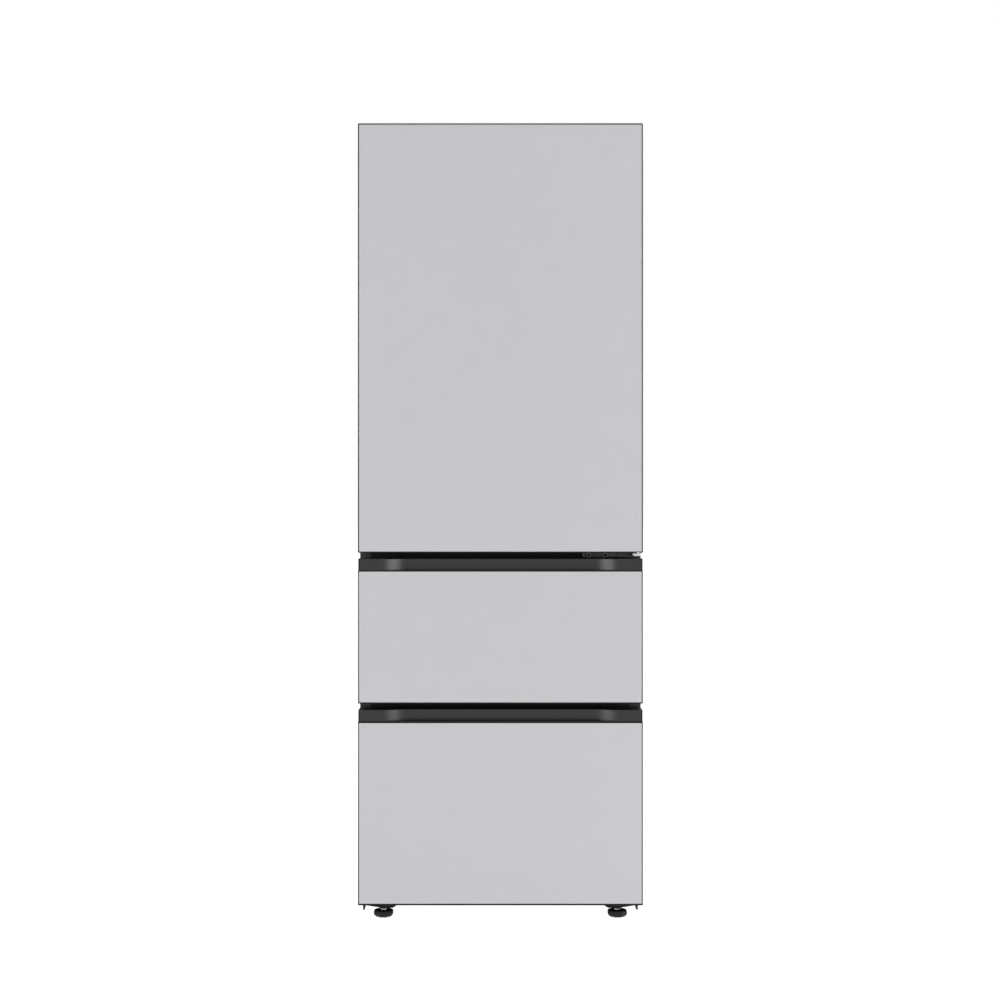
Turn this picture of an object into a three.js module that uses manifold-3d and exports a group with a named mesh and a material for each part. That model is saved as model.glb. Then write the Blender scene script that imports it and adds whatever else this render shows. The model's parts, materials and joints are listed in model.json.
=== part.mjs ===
// Stand-type kimchi refrigerator: one hinged door over two deep drawers.
// Millimetres. X to the right, Y to the back, Z up. The origin is on the floor,
// under the middle of the cabinet.

import * as THREE from 'three';
import { mergeVertices } from 'three/addons/utils/BufferGeometryUtils.js';
import Module from 'manifold-3d';

const wasm = await Module();
wasm.setup();

// ---------------------------------------------------------------- overall sizes
const cabinetWidth = 666;
const overallHeight = 1860;
const overallDepth = 698;
const fit = 0.3; // clearance between pieces that touch on the real object
const runningFit = 3; // clearance round pieces that move past each other

// fronts, from the floor up
const frontSideGap = 1;
const frontThickness = 70;
const frontBottom = 36.8;
const lowerFrontHeight = 455.6;
const middleFrontHeight = 338;
const frontGap = 13.2;
const frontCornerRadius = 3;
const frameLip = 2.4;
const frameTopLip = 4;
const panelThickness = 1.5;
const panelRecess = 0.5;
const linerFlange = 2.7;

// curved grip on top of each drawer front
const gripHeight = 27.6;
const gripSetback = 20;
const gripFlatEnd = 50;
const gripCurveEnd = 115;
const fingerFromEnd = 110;
const fingerDepth = 20;
const fingerReach = 26;
const fingerWall = 2;

// seal between the fronts and the cabinet
const gasketGap = 12;
const gasketInset = 16;
const gasketWidth = 14;

// cabinet shell and foam
const hingeCoverRise = 12;
const doorBelowCover = 2;
const caseSheet = 1.5;
const caseFlange = 25;
const caseBottom = 36.8;
const backSheet = 2;
const wallThickness = 45;
const linerSheet = 2;
const linerRim = 20;
const mullionToFloor = 35;
const mullionDepth = 30;
const lowerFloorHeight = 90;
const backWall = 61.7;
const machineRoomLength = 251.7;
const machineRoomWall = 14;
const machineRoomTop = 300;

// hinges of the upper door
const hingeInset = 13;
const hingePinForward = 43;
const hingePinRadius = 5;
const hingePinLength = 14;
const hingePlate = 4;
const hingeArmRadius = 13;
const hingeCornerBlock = 34;

// drawer insides
const railSection = { height: 40, width: 13, sheet: 1.5 };
const railHeight = 44;
const trayWall = 3;
const trayFloorGap = 20;
const middleTrayHeight = 84;
const lowerTrayHeight = 300;
const middleTrayBackGap = 140;
const lowerTrayBackGap = 62;
const containerHeight = 200;
const containerWall = 3;
const lidThickness = 10;

// feet and rollers
const footFromSide = 58;
const footSetback = 48;
const footWidth = 45;
const footPadHeight = 16;
const footScrewRadius = 5;
const bracketBottom = 24;
const hookBottom = 19.5;
const basePlateBottom = 34;
const basePlate = 2.5;
const rollerRadius = 16;
const rollerWidth = 20;
const rollerFromBack = 49;
const axleRadius = 4;

// ------------------------------------------------------------ worked-out places
const frontFace = -overallDepth / 2;
const cabinetFront = frontFace + frontThickness + gasketGap;
const cabinetBack = overallDepth / 2 - backSheet - fit;
const caseTop = overallHeight - hingeCoverRise;
const caseHalf = cabinetWidth / 2;
const frontHalf = caseHalf - frontSideGap;
const middleBottom = frontBottom + lowerFrontHeight + frontGap;
const upperBottom = middleBottom + middleFrontHeight + frontGap;
const upperDoorHeight = overallHeight - doorBelowCover - upperBottom;
const lowerMullionZ = middleBottom - frontGap / 2;
const upperMullionZ = upperBottom - frontGap / 2;
const openingHalf = caseHalf - wallThickness;
const frameDepth = frontThickness - linerFlange - fit;
const hingeX = frontHalf - hingeInset;
const hingeY = cabinetFront - hingePinForward;
const footCentreX = caseHalf - footFromSide;
const footY = frontFace + footSetback;
const fingerHalfLength = frontHalf - fingerFromEnd;
const deepBack = cabinetBack - backWall;

// Each refrigerated room: its floor and ceiling heights and how far back it reaches.
const rooms = {
  upper: { floor: upperMullionZ + mullionToFloor, ceiling: caseTop - wallThickness, back: deepBack },
  middle: { floor: lowerMullionZ + mullionToFloor, ceiling: upperMullionZ - mullionToFloor, back: deepBack },
  lower: {
    floor: lowerFloorHeight,
    ceiling: lowerMullionZ - mullionToFloor,
    back: cabinetBack - machineRoomLength,
  },
};
const middleTrayLength = rooms.middle.back - cabinetFront - middleTrayBackGap;
const lowerTrayLength = rooms.lower.back - cabinetFront - lowerTrayBackGap;

// -------------------------------------------------------------------- materials
function finish(colour, roughness, metalness) {
  return new THREE.MeshStandardMaterial({ color: colour, roughness, metalness });
}
const finishes = {
  frontSheet: finish(0xc2c1c4, 0.35, 0.3),
  darkTrim: finish(0x4b4a4c, 0.4, 0.6),
  caseSheet: finish(0x1d1d1e, 0.5, 0.1),
  galvanised: finish(0xa9acae, 0.45, 0.8),
  zinc: finish(0xc9cbcc, 0.3, 0.9),
  linerPlastic: finish(0xe9eaec, 0.45, 0),
  foam: finish(0xe8dfb9, 0.95, 0),
  rubber: finish(0x262627, 0.8, 0),
  blackPlastic: finish(0x242426, 0.5, 0),
  compressorPaint: finish(0x1b1c1e, 0.35, 0.4),
  aluminium: finish(0xb9bcbe, 0.35, 0.9),
  glass: finish(0xd7e6e4, 0.08, 0),
  trayPlastic: finish(0xdcdfe2, 0.4, 0),
  containerPlastic: finish(0xc9b9a6, 0.4, 0),
};

// ------------------------------------------------------------ geometry and solids
function toSolid(geometry) {
  const bare = geometry.clone();
  bare.deleteAttribute('normal');
  bare.deleteAttribute('uv');
  const merged = mergeVertices(bare, 1e-4);
  return new wasm.Manifold(new wasm.Mesh({
    numProp: 3,
    vertProperties: new Float32Array(merged.attributes.position.array),
    triVerts: new Uint32Array(merged.index.array),
  }));
}

function toGeometry(solid) {
  const mesh = solid.getMesh();
  const geometry = new THREE.BufferGeometry();
  geometry.setAttribute('position', new THREE.BufferAttribute(mesh.vertProperties, 3));
  geometry.setIndex(new THREE.BufferAttribute(mesh.triVerts, 1));
  geometry.computeVertexNormals();
  return geometry;
}

// A block between two limits on each axis.
function block([x0, x1], [y0, y1], [z0, z1]) {
  const geometry = new THREE.BoxGeometry(x1 - x0, y1 - y0, z1 - z0);
  geometry.translate((x0 + x1) / 2, (y0 + y1) / 2, (z0 + z1) / 2);
  return toSolid(geometry);
}

// A block that is symmetrical in X.
function wideBlock(half, ySpan, zSpan) {
  return block([-half, half], ySpan, zSpan);
}

// A solid for each side of the middle plane, joined into one.
function bothSides(makeSolid) {
  return makeSolid(-1).add(makeSolid(1));
}

// Two distances from the middle plane as an ordered pair on one side of it.
function onSide(side, near, far) {
  return side > 0 ? [near, far] : [-far, -near];
}

// A round bar along an axis, between two values on it.
function bar(axis, radius, [from, to], centre, sides = 20) {
  const geometry = new THREE.CylinderGeometry(radius, radius, to - from, sides);
  if (axis === 'x') geometry.rotateZ(Math.PI / 2);
  if (axis === 'z') geometry.rotateX(Math.PI / 2);
  const middle = { ...centre, [axis]: (from + to) / 2 };
  geometry.translate(middle.x, middle.y, middle.z);
  return toSolid(geometry);
}

// An outline in X and Z, extruded along Y.
function extrudeAlongY(shape, [from, to], curveSegments = 4) {
  const geometry = new THREE.ExtrudeGeometry(shape, {
    depth: to - from, bevelEnabled: false, curveSegments,
  });
  geometry.rotateX(Math.PI / 2);
  geometry.translate(0, to, 0);
  return toSolid(geometry);
}

// An outline in X and Y, extruded along Z.
function extrudeAlongZ(shape, [from, to], curveSegments = 8) {
  const geometry = new THREE.ExtrudeGeometry(shape, {
    depth: to - from, bevelEnabled: false, curveSegments,
  });
  geometry.translate(0, 0, from);
  return toSolid(geometry);
}

// A rectangle with rounded corners, centred on X, between two heights.
function roundedRectangle(half, [low, high], radius) {
  const shape = new THREE.Shape();
  shape.moveTo(-half + radius, low);
  shape.lineTo(half - radius, low);
  shape.absarc(half - radius, low + radius, radius, -Math.PI / 2, 0);
  shape.lineTo(half, high - radius);
  shape.absarc(half - radius, high - radius, radius, 0, Math.PI / 2);
  shape.lineTo(-half + radius, high);
  shape.absarc(-half + radius, high - radius, radius, Math.PI / 2, Math.PI);
  shape.lineTo(-half, low + radius);
  shape.absarc(-half + radius, low + radius, radius, Math.PI, 1.5 * Math.PI);
  return shape;
}

// An upright tub: outer block less its inside, open at the top.
function tub([x0, x1], [y0, y1], [z0, z1], wall) {
  const outside = block([x0, x1], [y0, y1], [z0, z1]);
  return outside.subtract(block([x0 + wall, x1 - wall], [y0 + wall, y1 - wall], [z0 + wall, z1 + 1]));
}

const refrigerator = new THREE.Group();

function assembly(x, y, z) {
  const group = new THREE.Group();
  group.position.set(x, y, z);
  refrigerator.add(group);
  return group;
}

function addPiece(group, name, solid, material) {
  const mesh = new THREE.Mesh(toGeometry(solid), material);
  mesh.name = name;
  group.add(mesh);
}

// ------------------------------------------------------------------------ fronts
// Fronts are drawn from their own lower edge up and from their face back.

const plateBack = panelRecess + panelThickness;
const panelHalf = frontHalf - frameLip - fit;
const sealFace = frontThickness + gasketGap;

// The dark rim round a front, open at the front and the back.
function frontRim(height, topLip) {
  const outside = extrudeAlongY(
    roundedRectangle(frontHalf, [0, height], frontCornerRadius), [0, frameDepth]);
  return outside.subtract(
    wideBlock(frontHalf - frameLip, [-1, frameDepth + 1], [frameLip, height - topLip]));
}

// The coated sheet that fills the rim.
function frontPlate(height, topLip) {
  return extrudeAlongY(
    roundedRectangle(panelHalf, [frameLip + fit, height - topLip - fit], frontCornerRadius - 1),
    [panelRecess, plateBack]);
}

// The foam-filled back of a front: a plug in the rim, a flange over its back edge,
// and a raised part that stands inside the room behind it.
function frontBack({ height, plugTop, raised }) {
  const plug = wideBlock(panelHalf, [plateBack + fit, frameDepth + fit + 0.1], [frameLip + fit, plugTop]);
  const flange = wideBlock(frontHalf, [frameDepth + fit, frontThickness], [0, height]);
  const step = wideBlock(raised.half, [frontThickness - 1, raised.back], raised.z);
  return plug.add(flange).add(step);
}

// The magnetic seal: a closed ring that lies on the flange.
function gasket(height) {
  const ySpan = [frontThickness + fit, sealFace - fit];
  const outer = frontHalf - gasketInset;
  const inner = outer - gasketWidth;
  const ring = wideBlock(outer, ySpan, [gasketInset, height - gasketInset]);
  const hole = wideBlock(inner, [ySpan[0] - 1, ySpan[1] + 1],
    [gasketInset + gasketWidth, height - gasketInset - gasketWidth]);
  return ring.subtract(hole);
}

// The grip on a drawer front: flush at both ends, set back between them, with a
// finger trough that reaches down behind the top edge of the sheet.
function gripOutline() {
  const flat = frontHalf - gripFlatEnd;
  const curve = frontHalf - gripCurveEnd;
  const half = (flat - curve) / 2;
  const shape = new THREE.Shape();
  shape.moveTo(-frontHalf, frameDepth);
  shape.lineTo(-frontHalf, 0);
  shape.lineTo(-flat, 0);
  shape.bezierCurveTo(-flat + half, 0, -curve - half, gripSetback, -curve, gripSetback);
  shape.lineTo(curve, gripSetback);
  shape.bezierCurveTo(curve + half, gripSetback, flat - half, 0, flat, 0);
  shape.lineTo(frontHalf, 0);
  shape.lineTo(frontHalf, frameDepth);
  return shape;
}

function fingerTrough(rimTop) {
  const front = plateBack + fingerWall;
  const troughFloor = rimTop - fingerDepth;
  return {
    outside: wideBlock(fingerHalfLength + fingerWall,
      [front, front + fingerReach + 2 * fingerWall], [troughFloor - fingerWall, rimTop + 2 * fit]),
    inside: wideBlock(fingerHalfLength,
      [front + fingerWall, front + fingerWall + fingerReach], [troughFloor, rimTop + 1]),
    room: wideBlock(fingerHalfLength + fingerWall + fit,
      [front - fit, front + fingerReach + 2 * fingerWall + fit],
      [troughFloor - fingerWall - fit, rimTop + 2 * fit]),
  };
}

// A drawer front: plate, rim, grip, foam-filled back and seal.
function drawerFront(group, name, height, raised) {
  const rimTop = height - gripHeight - fit;
  const trough = fingerTrough(rimTop);
  const grip = extrudeAlongZ(gripOutline(), [height - gripHeight, height])
    .add(trough.outside.subtract(trough.inside));
  const back = frontBack({ height, plugTop: rimTop - frameLip - fit, raised });
  addPiece(group, `${name}_front_panel`, frontPlate(rimTop, frameLip), finishes.frontSheet);
  addPiece(group, `${name}_front_frame`, frontRim(rimTop, frameLip).subtract(trough.room), finishes.darkTrim);
  addPiece(group, `${name}_handle`, grip, finishes.darkTrim);
  addPiece(group, `${name}_front_liner`, back.subtract(trough.room), finishes.linerPlastic);
  addPiece(group, `${name}_gasket`, gasket(height), finishes.rubber);
}

// The hinged door. Solid blocks in its rim take the hinge pins at the right, and
// a pocket in the upper one leaves room for the arm of the top hinge.
function hingedDoor(group, height, raised) {
  const pin = { x: hingeX, y: hingeY - frontFace };
  const edge = frontHalf + 1;
  const pocketSide = pin.x - hingeArmRadius - 4;
  const pocketFront = pin.y - hingeArmRadius - 10;
  const pocketFloor = height - (upperBottom + height - caseTop) - hingePlate;
  const blockSide = pocketSide - 10;
  const lowerBlockTop = hingePinLength + 12;
  const upperBlockBottom = height - hingeCornerBlock;
  const blockFront = plateBack + fit;
  const pinHole = hingePinRadius + fit;

  const blockX = [blockSide, frontHalf - 1];
  const upperBlock = block(blockX, [blockFront, frameDepth], [upperBlockBottom, height - 1]);
  const lowerBlock = block(blockX, [blockFront, frameDepth], [1, lowerBlockTop]);
  const pocket = block([pocketSide, edge], [pocketFront, sealFace], [pocketFloor, height + 1]);
  const upperHole = bar('z', pinHole, [pocketFloor - hingePinLength, pocketFloor + 1], pin);
  const lowerHole = bar('z', pinHole, [-1, hingePinLength + 1], pin);
  const rim = frontRim(height, frameTopLip).add(upperBlock).add(lowerBlock)
    .subtract(pocket).subtract(upperHole).subtract(lowerHole);

  const blockRoomX = [blockSide - fit, edge];
  const blockRoomY = [0, frameDepth + fit];
  const roomForBlocks = block(blockRoomX, blockRoomY, [upperBlockBottom - fit, height + 1])
    .add(block(blockRoomX, blockRoomY, [-1, lowerBlockTop + fit]));
  const back = frontBack({ height, plugTop: height - frameTopLip - fit, raised })
    .subtract(roomForBlocks).subtract(pocket);

  addPiece(group, 'upper_door_panel', frontPlate(height, frameTopLip), finishes.frontSheet);
  addPiece(group, 'upper_door_frame', rim, finishes.darkTrim);
  addPiece(group, 'upper_door_liner', back, finishes.linerPlastic);
  addPiece(group, 'upper_door_gasket', gasket(height), finishes.rubber);
}

// The raised part on the back of a front, clear of the walls of its room.
function raisedPart(place, bottom, side, depth) {
  return {
    half: openingHalf - side,
    z: [place.floor - bottom + side, place.ceiling - bottom - side],
    back: sealFace + depth,
  };
}

const doorRaise = { side: 8, depth: 20 };
const drawerRaise = { side: 30, depth: 4 };
const upperDoor = assembly(0, frontFace, upperBottom);
const middleDrawer = assembly(0, frontFace, middleBottom);
const lowerDrawer = assembly(0, frontFace, frontBottom);
hingedDoor(upperDoor, upperDoorHeight,
  raisedPart(rooms.upper, upperBottom, doorRaise.side, doorRaise.depth));
drawerFront(middleDrawer, 'middle', middleFrontHeight,
  raisedPart(rooms.middle, middleBottom, drawerRaise.side, drawerRaise.depth));
drawerFront(lowerDrawer, 'lower', lowerFrontHeight,
  raisedPart(rooms.lower, frontBottom, drawerRaise.side, drawerRaise.depth));

// ----------------------------------------------------------------------- cabinet
const cabinet = assembly(0, 0, 0);

function outerCase() {
  const outside = wideBlock(caseHalf, [cabinetFront, cabinetBack], [caseBottom, caseTop]);
  const inside = wideBlock(caseHalf - caseSheet,
    [cabinetFront + caseSheet, cabinetBack + 1], [caseBottom - 1, caseTop - caseSheet]);
  const mouth = wideBlock(caseHalf - caseFlange,
    [cabinetFront - 1, cabinetFront + caseSheet + 1], [caseBottom - 1, caseTop - caseFlange]);
  return outside.subtract(inside).subtract(mouth);
}

// A room's plastic lining, with a rim that lies in the front plane, and ledges for shelves.
function lining(place, ledges = []) {
  const outside = wideBlock(openingHalf + linerSheet,
    [cabinetFront, place.back + linerSheet], [place.floor - linerSheet, place.ceiling + linerSheet]);
  const rim = wideBlock(openingHalf + linerRim,
    [cabinetFront, cabinetFront + linerSheet], [place.floor - linerRim, place.ceiling + linerRim]);
  const inside = wideBlock(openingHalf,
    [cabinetFront - 1, place.back], [place.floor, place.ceiling]);
  let shell = outside.add(rim).subtract(inside);
  for (const height of ledges) shell = shell.add(bothSides((side) => shelfLedge(side, height)));
  return shell;
}

// All that a lining takes up, with its clearance, for cutting the foam.
function liningRoom(place) {
  const reach = openingHalf + linerSheet + fit;
  return wideBlock(reach, [cabinetFront - 1, place.back + linerSheet + fit],
    [place.floor - linerSheet - fit, place.ceiling + linerSheet + fit]);
}

const shelfRises = [303.6, 613.6];
const shelfHeights = shelfRises.map((rise) => rooms.upper.floor + rise);
const shelfThickness = 6;
const shelfTrim = { depth: 8, rise: 2 };
const shelfBackGap = 10;
const ledge = { reach: 8, thickness: 8, setback: 40 };
const coldPlate = { fromBack: 45, sheet: 3, sideGap: 1.5 };
const coldPlateFront = rooms.upper.back - coldPlate.fromBack;

function shelfLedge(side, height) {
  return block(onSide(side, openingHalf - ledge.reach, openingHalf + 1),
    [cabinetFront + ledge.setback, coldPlateFront - ledge.setback], [height - ledge.thickness, height]);
}

// A glass shelf with a trim along its front edge.
function shelf(height) {
  const front = cabinetFront + ledge.setback - fit;
  const half = openingHalf - 1;
  const plate = wideBlock(half, [front, coldPlateFront - shelfBackGap],
    [height + fit, height + fit + shelfThickness]);
  const trim = wideBlock(half, [front - shelfTrim.depth, front + 0.1],
    [height - ledge.thickness, height + shelfThickness + shelfTrim.rise]);
  return plate.add(trim);
}

function mullion(centre) {
  const half = mullionToFloor - linerRim - fit;
  return wideBlock(caseHalf - caseFlange - fit,
    [cabinetFront, cabinetFront + mullionDepth], [centre - half, centre + half]);
}

// The floor plate, the member across the front and the ears that hold the rollers.
const rollerInset = 5;
const rollerX = footCentreX - rollerInset;
const rollerY = overallDepth / 2 - rollerFromBack;
const earThickness = 3;
const earHalfLength = 14;
const earBottom = 8;
const earGap = rollerWidth / 2 + 1;
const frontMemberTop = rooms.lower.floor - linerRim - fit;

function baseFrame() {
  const plateTop = basePlateBottom + basePlate;
  const plate = wideBlock(caseHalf, [cabinetFront, cabinetBack], [basePlateBottom, plateTop]);
  const front = wideBlock(caseHalf - caseFlange - fit,
    [cabinetFront, cabinetFront + 2 * basePlate], [basePlateBottom, frontMemberTop]);
  let frame = plate.add(front);
  for (const side of [-1, 1]) {
    for (const offset of [-earGap - earThickness, earGap]) {
      const x = side * rollerX + offset;
      const ear = block([x, x + earThickness], [rollerY - earHalfLength, rollerY + earHalfLength],
        [earBottom, plateTop - 1]);
      const hole = bar('x', axleRadius + fit, [x - 1, x + earThickness + 1], { y: rollerY, z: rollerRadius });
      frame = frame.add(ear).subtract(hole);
    }
  }
  return frame;
}

// The foam that fills the walls, less the rooms, the cross members and the machine room.
const machineRoomFront = rooms.lower.back + linerSheet + machineRoomWall;
const controlBox = { half: 110, belowTop: 148, height: 140, depth: 16 };
const controlBoxZ = [caseTop - controlBox.belowTop - controlBox.height, caseTop - controlBox.belowTop];

function wallFoam() {
  const skin = caseSheet + fit;
  let foam = wideBlock(caseHalf - skin, [cabinetFront + skin, cabinetBack - fit],
    [basePlateBottom + basePlate + fit, caseTop - skin]);
  for (const place of Object.values(rooms)) {
    foam = foam.subtract(liningRoom(place));
    foam = foam.subtract(wideBlock(openingHalf + linerRim + fit,
      [cabinetFront, cabinetFront + linerSheet + fit],
      [place.floor - linerRim - fit, place.ceiling + linerRim + fit]));
  }
  for (const centre of [lowerMullionZ, upperMullionZ]) {
    foam = foam.subtract(wideBlock(caseHalf - caseFlange,
      [cabinetFront, cabinetFront + mullionDepth + fit],
      [centre - mullionToFloor + linerRim, centre + mullionToFloor - linerRim]));
  }
  foam = foam.subtract(wideBlock(caseHalf - caseFlange,
    [cabinetFront, cabinetFront + 2 * basePlate + fit], [basePlateBottom, frontMemberTop + fit]));
  foam = foam.subtract(wideBlock(caseHalf,
    [machineRoomFront, cabinetBack + 1], [basePlateBottom, machineRoomTop]));
  return foam.subtract(wideBlock(controlBox.half + fit,
    [cabinetBack - controlBox.depth - fit, cabinetBack + 1], [controlBoxZ[0] - fit, controlBoxZ[1] + fit]));
}

addPiece(cabinet, 'outer_case', outerCase(), finishes.caseSheet);
addPiece(cabinet, 'cabinet_insulation', wallFoam(), finishes.foam);
addPiece(cabinet, 'upper_liner', lining(rooms.upper, shelfHeights), finishes.linerPlastic);
addPiece(cabinet, 'middle_liner', lining(rooms.middle), finishes.linerPlastic);
addPiece(cabinet, 'lower_liner', lining(rooms.lower), finishes.linerPlastic);
addPiece(cabinet, 'upper_mullion', mullion(upperMullionZ), finishes.caseSheet);
addPiece(cabinet, 'lower_mullion', mullion(lowerMullionZ), finishes.caseSheet);
addPiece(cabinet, 'base_frame', baseFrame(), finishes.galvanised);
addPiece(cabinet, 'shelf_lower', shelf(shelfHeights[0]), finishes.glass);
addPiece(cabinet, 'shelf_upper', shelf(shelfHeights[1]), finishes.glass);

// ------------------------------------------------------------------------ hinges
// The arm of the top hinge lies on the cabinet and carries a pin down into the door.
const pinPlace = { x: hingeX, y: hingeY };
const topPlateSize = { width: 96, length: 77 };
const topPlate = { left: frontHalf - topPlateSize.width, back: cabinetFront + topPlateSize.length };
const armLeft = hingeX - hingeArmRadius;

function topHinge() {
  const z = [caseTop + fit, caseTop + fit + hingePlate];
  const plate = block([topPlate.left, frontHalf], [cabinetFront, topPlate.back], z);
  const arm = block([armLeft, hingeX + hingeArmRadius], [hingeY, cabinetFront + 1], z);
  const tip = bar('z', hingeArmRadius, z, pinPlace);
  const pin = bar('z', hingePinRadius, [caseTop - hingePinLength, caseTop + 1], pinPlace);
  return plate.add(arm).add(tip).add(pin);
}

// The cover caps the plate and the arm, and its skirt stands on the cabinet.
function topHingeCover() {
  const margin = 2;
  const under = caseTop + 2 * fit + hingePlate;
  const skirt = block([topPlate.left - 2 * margin, frontHalf],
    [cabinetFront + margin, topPlate.back + 2 * margin], [caseTop + fit, overallHeight]);
  const hollow = block([topPlate.left - fit, frontHalf + 1],
    [cabinetFront, topPlate.back + fit], [caseTop, under]);
  const nose = block([armLeft - margin, hingeX + hingeArmRadius], [hingeY, cabinetFront + 2 * margin],
    [under, overallHeight]);
  const tip = bar('z', hingeArmRadius + margin, [under, overallHeight], pinPlace);
  return skirt.subtract(hollow).add(nose).add(tip.intersect(
    block([0, hingeX + hingeArmRadius], [hingeY - 20, hingeY + 20], [under - 1, overallHeight + 1])));
}

// The middle hinge is bolted to the cross member, in the gap under the door. Its bolts
// and its widths are measured from the side of the fronts.
const middleHinge = { width: 137, shelfWidth: 70, bolts: [123, 83], leg: 3, boltHead: 5, gap: 0.9 };

function middleHingeBracket() {
  const centre = upperMullionZ;
  const plate = [centre - hingePlate / 2, centre + hingePlate / 2];
  const halfGap = frontGap / 2 - middleHinge.gap;
  const rear = cabinetFront - fit;
  const leg = block([frontHalf - middleHinge.width, frontHalf], [rear - middleHinge.leg, rear],
    [centre - halfGap, centre + halfGap]);
  const shelfPlate = block([frontHalf - middleHinge.shelfWidth, frontHalf],
    [frontFace + frontThickness - 2, rear], plate);
  const arm = block([armLeft, hingeX + hingeArmRadius], [hingeY, rear], plate);
  const tip = bar('z', hingeArmRadius, plate, pinPlace);
  const pin = bar('z', hingePinRadius, [centre, upperBottom + hingePinLength], pinPlace);
  let bracket = leg.add(shelfPlate).add(arm).add(tip).add(pin);
  for (const fromSide of middleHinge.bolts) {
    const span = [rear - middleHinge.leg - middleHinge.boltHead, rear - 1];
    bracket = bracket.add(bar('y', halfGap - 0.5, span, { x: frontHalf - fromSide, z: centre }, 12));
  }
  return bracket;
}

addPiece(cabinet, 'top_hinge_bracket', topHinge(), finishes.zinc);
addPiece(cabinet, 'top_hinge_cover', topHingeCover(), finishes.blackPlastic);
addPiece(cabinet, 'middle_hinge_bracket', middleHingeBracket(), finishes.galvanised);

// -------------------------------------------------------------- feet and rollers
const bracketTop = basePlateBottom - fit;
const bracketSpan = { x: [-32, 47], y: [-22, 69] };
const bossSpan = { inner: -23, outer: 2, taper: 40 };
const hookWidth = 4;

// The bracket under the cabinet that takes the foot: a tapered boss below a plate,
// with a small hook at its outer end.
function footBracket(side) {
  const outline = new THREE.Shape();
  const at = (x, z) => [side * (footCentreX + x), z];
  const points = [at(bracketSpan.x[0], bracketTop), at(bracketSpan.x[0], 30),
    at(bossSpan.inner, bracketBottom), at(bossSpan.outer, bracketBottom), at(bossSpan.taper, 30),
    at(bracketSpan.x[1] - hookWidth, 30), at(bracketSpan.x[1] - hookWidth, hookBottom),
    at(bracketSpan.x[1], hookBottom), at(bracketSpan.x[1], bracketTop)];
  outline.setFromPoints(points.map(([x, z]) => new THREE.Vector2(x, z)));
  const body = extrudeAlongY(outline, [footY + bracketSpan.y[0], footY + bracketSpan.y[1]]);
  const hole = bar('z', footScrewRadius + fit, [0, bracketTop + 1], { x: side * footCentreX, y: footY });
  return body.subtract(hole);
}

const screwSpan = [8, basePlateBottom + 2];
const screwCollar = { radius: 8, z: [footPadHeight + fit, bracketBottom - fit] };

function footScrew() {
  return bar('z', footScrewRadius, screwSpan, { x: 0, y: 0 })
    .add(bar('z', screwCollar.radius, screwCollar.z, { x: 0, y: 0 }, 6));
}

// An eight-sided pad with a chamfered sole, turned on its axis.
function footPad() {
  const half = footWidth / 2 / Math.cos(Math.PI / 8);
  const profile = [[0, 0], [half - 5, 0], [half, 5], [half, footPadHeight - 5],
    [half - 4, footPadHeight], [0, footPadHeight]];
  const geometry = new THREE.LatheGeometry(profile.map(([r, z]) => new THREE.Vector2(r, z)), 8);
  geometry.rotateX(Math.PI / 2);
  geometry.rotateZ(Math.PI / 8);
  return toSolid(geometry).subtract(
    bar('z', footScrewRadius + fit, [screwSpan[0] - fit, footPadHeight + 1], { x: 0, y: 0 }));
}

function roller() {
  const tread = bar('x', rollerRadius, [-rollerWidth / 2, rollerWidth / 2], { y: 0, z: 0 }, 32);
  return tread.subtract(bar('x', axleRadius + fit, [-rollerWidth, rollerWidth], { y: 0, z: 0 }));
}

function rollerAxle() {
  const reach = earGap + earThickness;
  return bar('x', axleRadius, [-reach - 2, reach], { y: 0, z: 0 })
    .add(bar('x', axleRadius + 2, [reach + fit, reach + 3], { y: 0, z: 0 }))
    .add(bar('x', axleRadius - 1, [0, reach + 1], { y: 0, z: 0 }));
}

for (const [side, hand] of [[-1, 'left'], [1, 'right']]) {
  const foot = assembly(side * footCentreX, footY, 0);
  const wheel = assembly(side * rollerX, rollerY, rollerRadius);
  addPiece(cabinet, `foot_bracket_${hand}`, footBracket(side), finishes.caseSheet);
  addPiece(foot, `foot_screw_${hand}`, footScrew(), finishes.zinc);
  addPiece(foot, `foot_pad_${hand}`, footPad(), finishes.blackPlastic);
  addPiece(wheel, `roller_${hand}`, roller(), finishes.blackPlastic);
  addPiece(wheel, `roller_axle_${hand}`, rollerAxle(), finishes.zinc);
}

// ------------------------------------------------- slides, trays and containers
// Each drawer runs on three nested channels: one on the lining, one that travels
// half as far, and one on the tray. The travelling pair is joined across the back.
function channel(side, outerX, width, [y0, y1], [z0, z1]) {
  const sheet = railSection.sheet;
  const outside = block(onSide(side, outerX - width, outerX), [y0, y1], [z0, z1]);
  const inside = block(onSide(side, outerX - width - 1, outerX - sheet),
    [y0 - 1, y1 + 1], [z0 + sheet, z1 - sheet]);
  return outside.subtract(inside);
}

const slideStart = cabinetFront + 9;
const carriageOuter = openingHalf - 2 * fit - railSection.sheet;
const memberOuter = carriageOuter - railSection.sheet - fit;
const trayHalf = openingHalf - fit - 2 * railSection.width - runningFit - 1;
const trayFront = frontFace + sealFace + drawerRaise.depth + fit;

function fixedRail(side, place, length) {
  const z = place.floor + railHeight;
  return channel(side, openingHalf - fit, railSection.width, [slideStart, slideStart + length],
    [z, z + railSection.height]);
}

function slideCarriage(place, length) {
  const z = place.floor + railHeight + railSection.sheet + fit;
  const height = railSection.height - 2 * (railSection.sheet + fit);
  const ySpan = [slideStart, slideStart + length];
  const barHalf = carriageOuter - 1;
  const tie = wideBlock(barHalf, [ySpan[1] - 12, ySpan[1]], [z + 6, z + height - 6]);
  return channel(-1, carriageOuter, railSection.width + 5, ySpan, [z, z + height])
    .add(channel(1, carriageOuter, railSection.width + 5, ySpan, [z, z + height])).add(tie);
}

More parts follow.
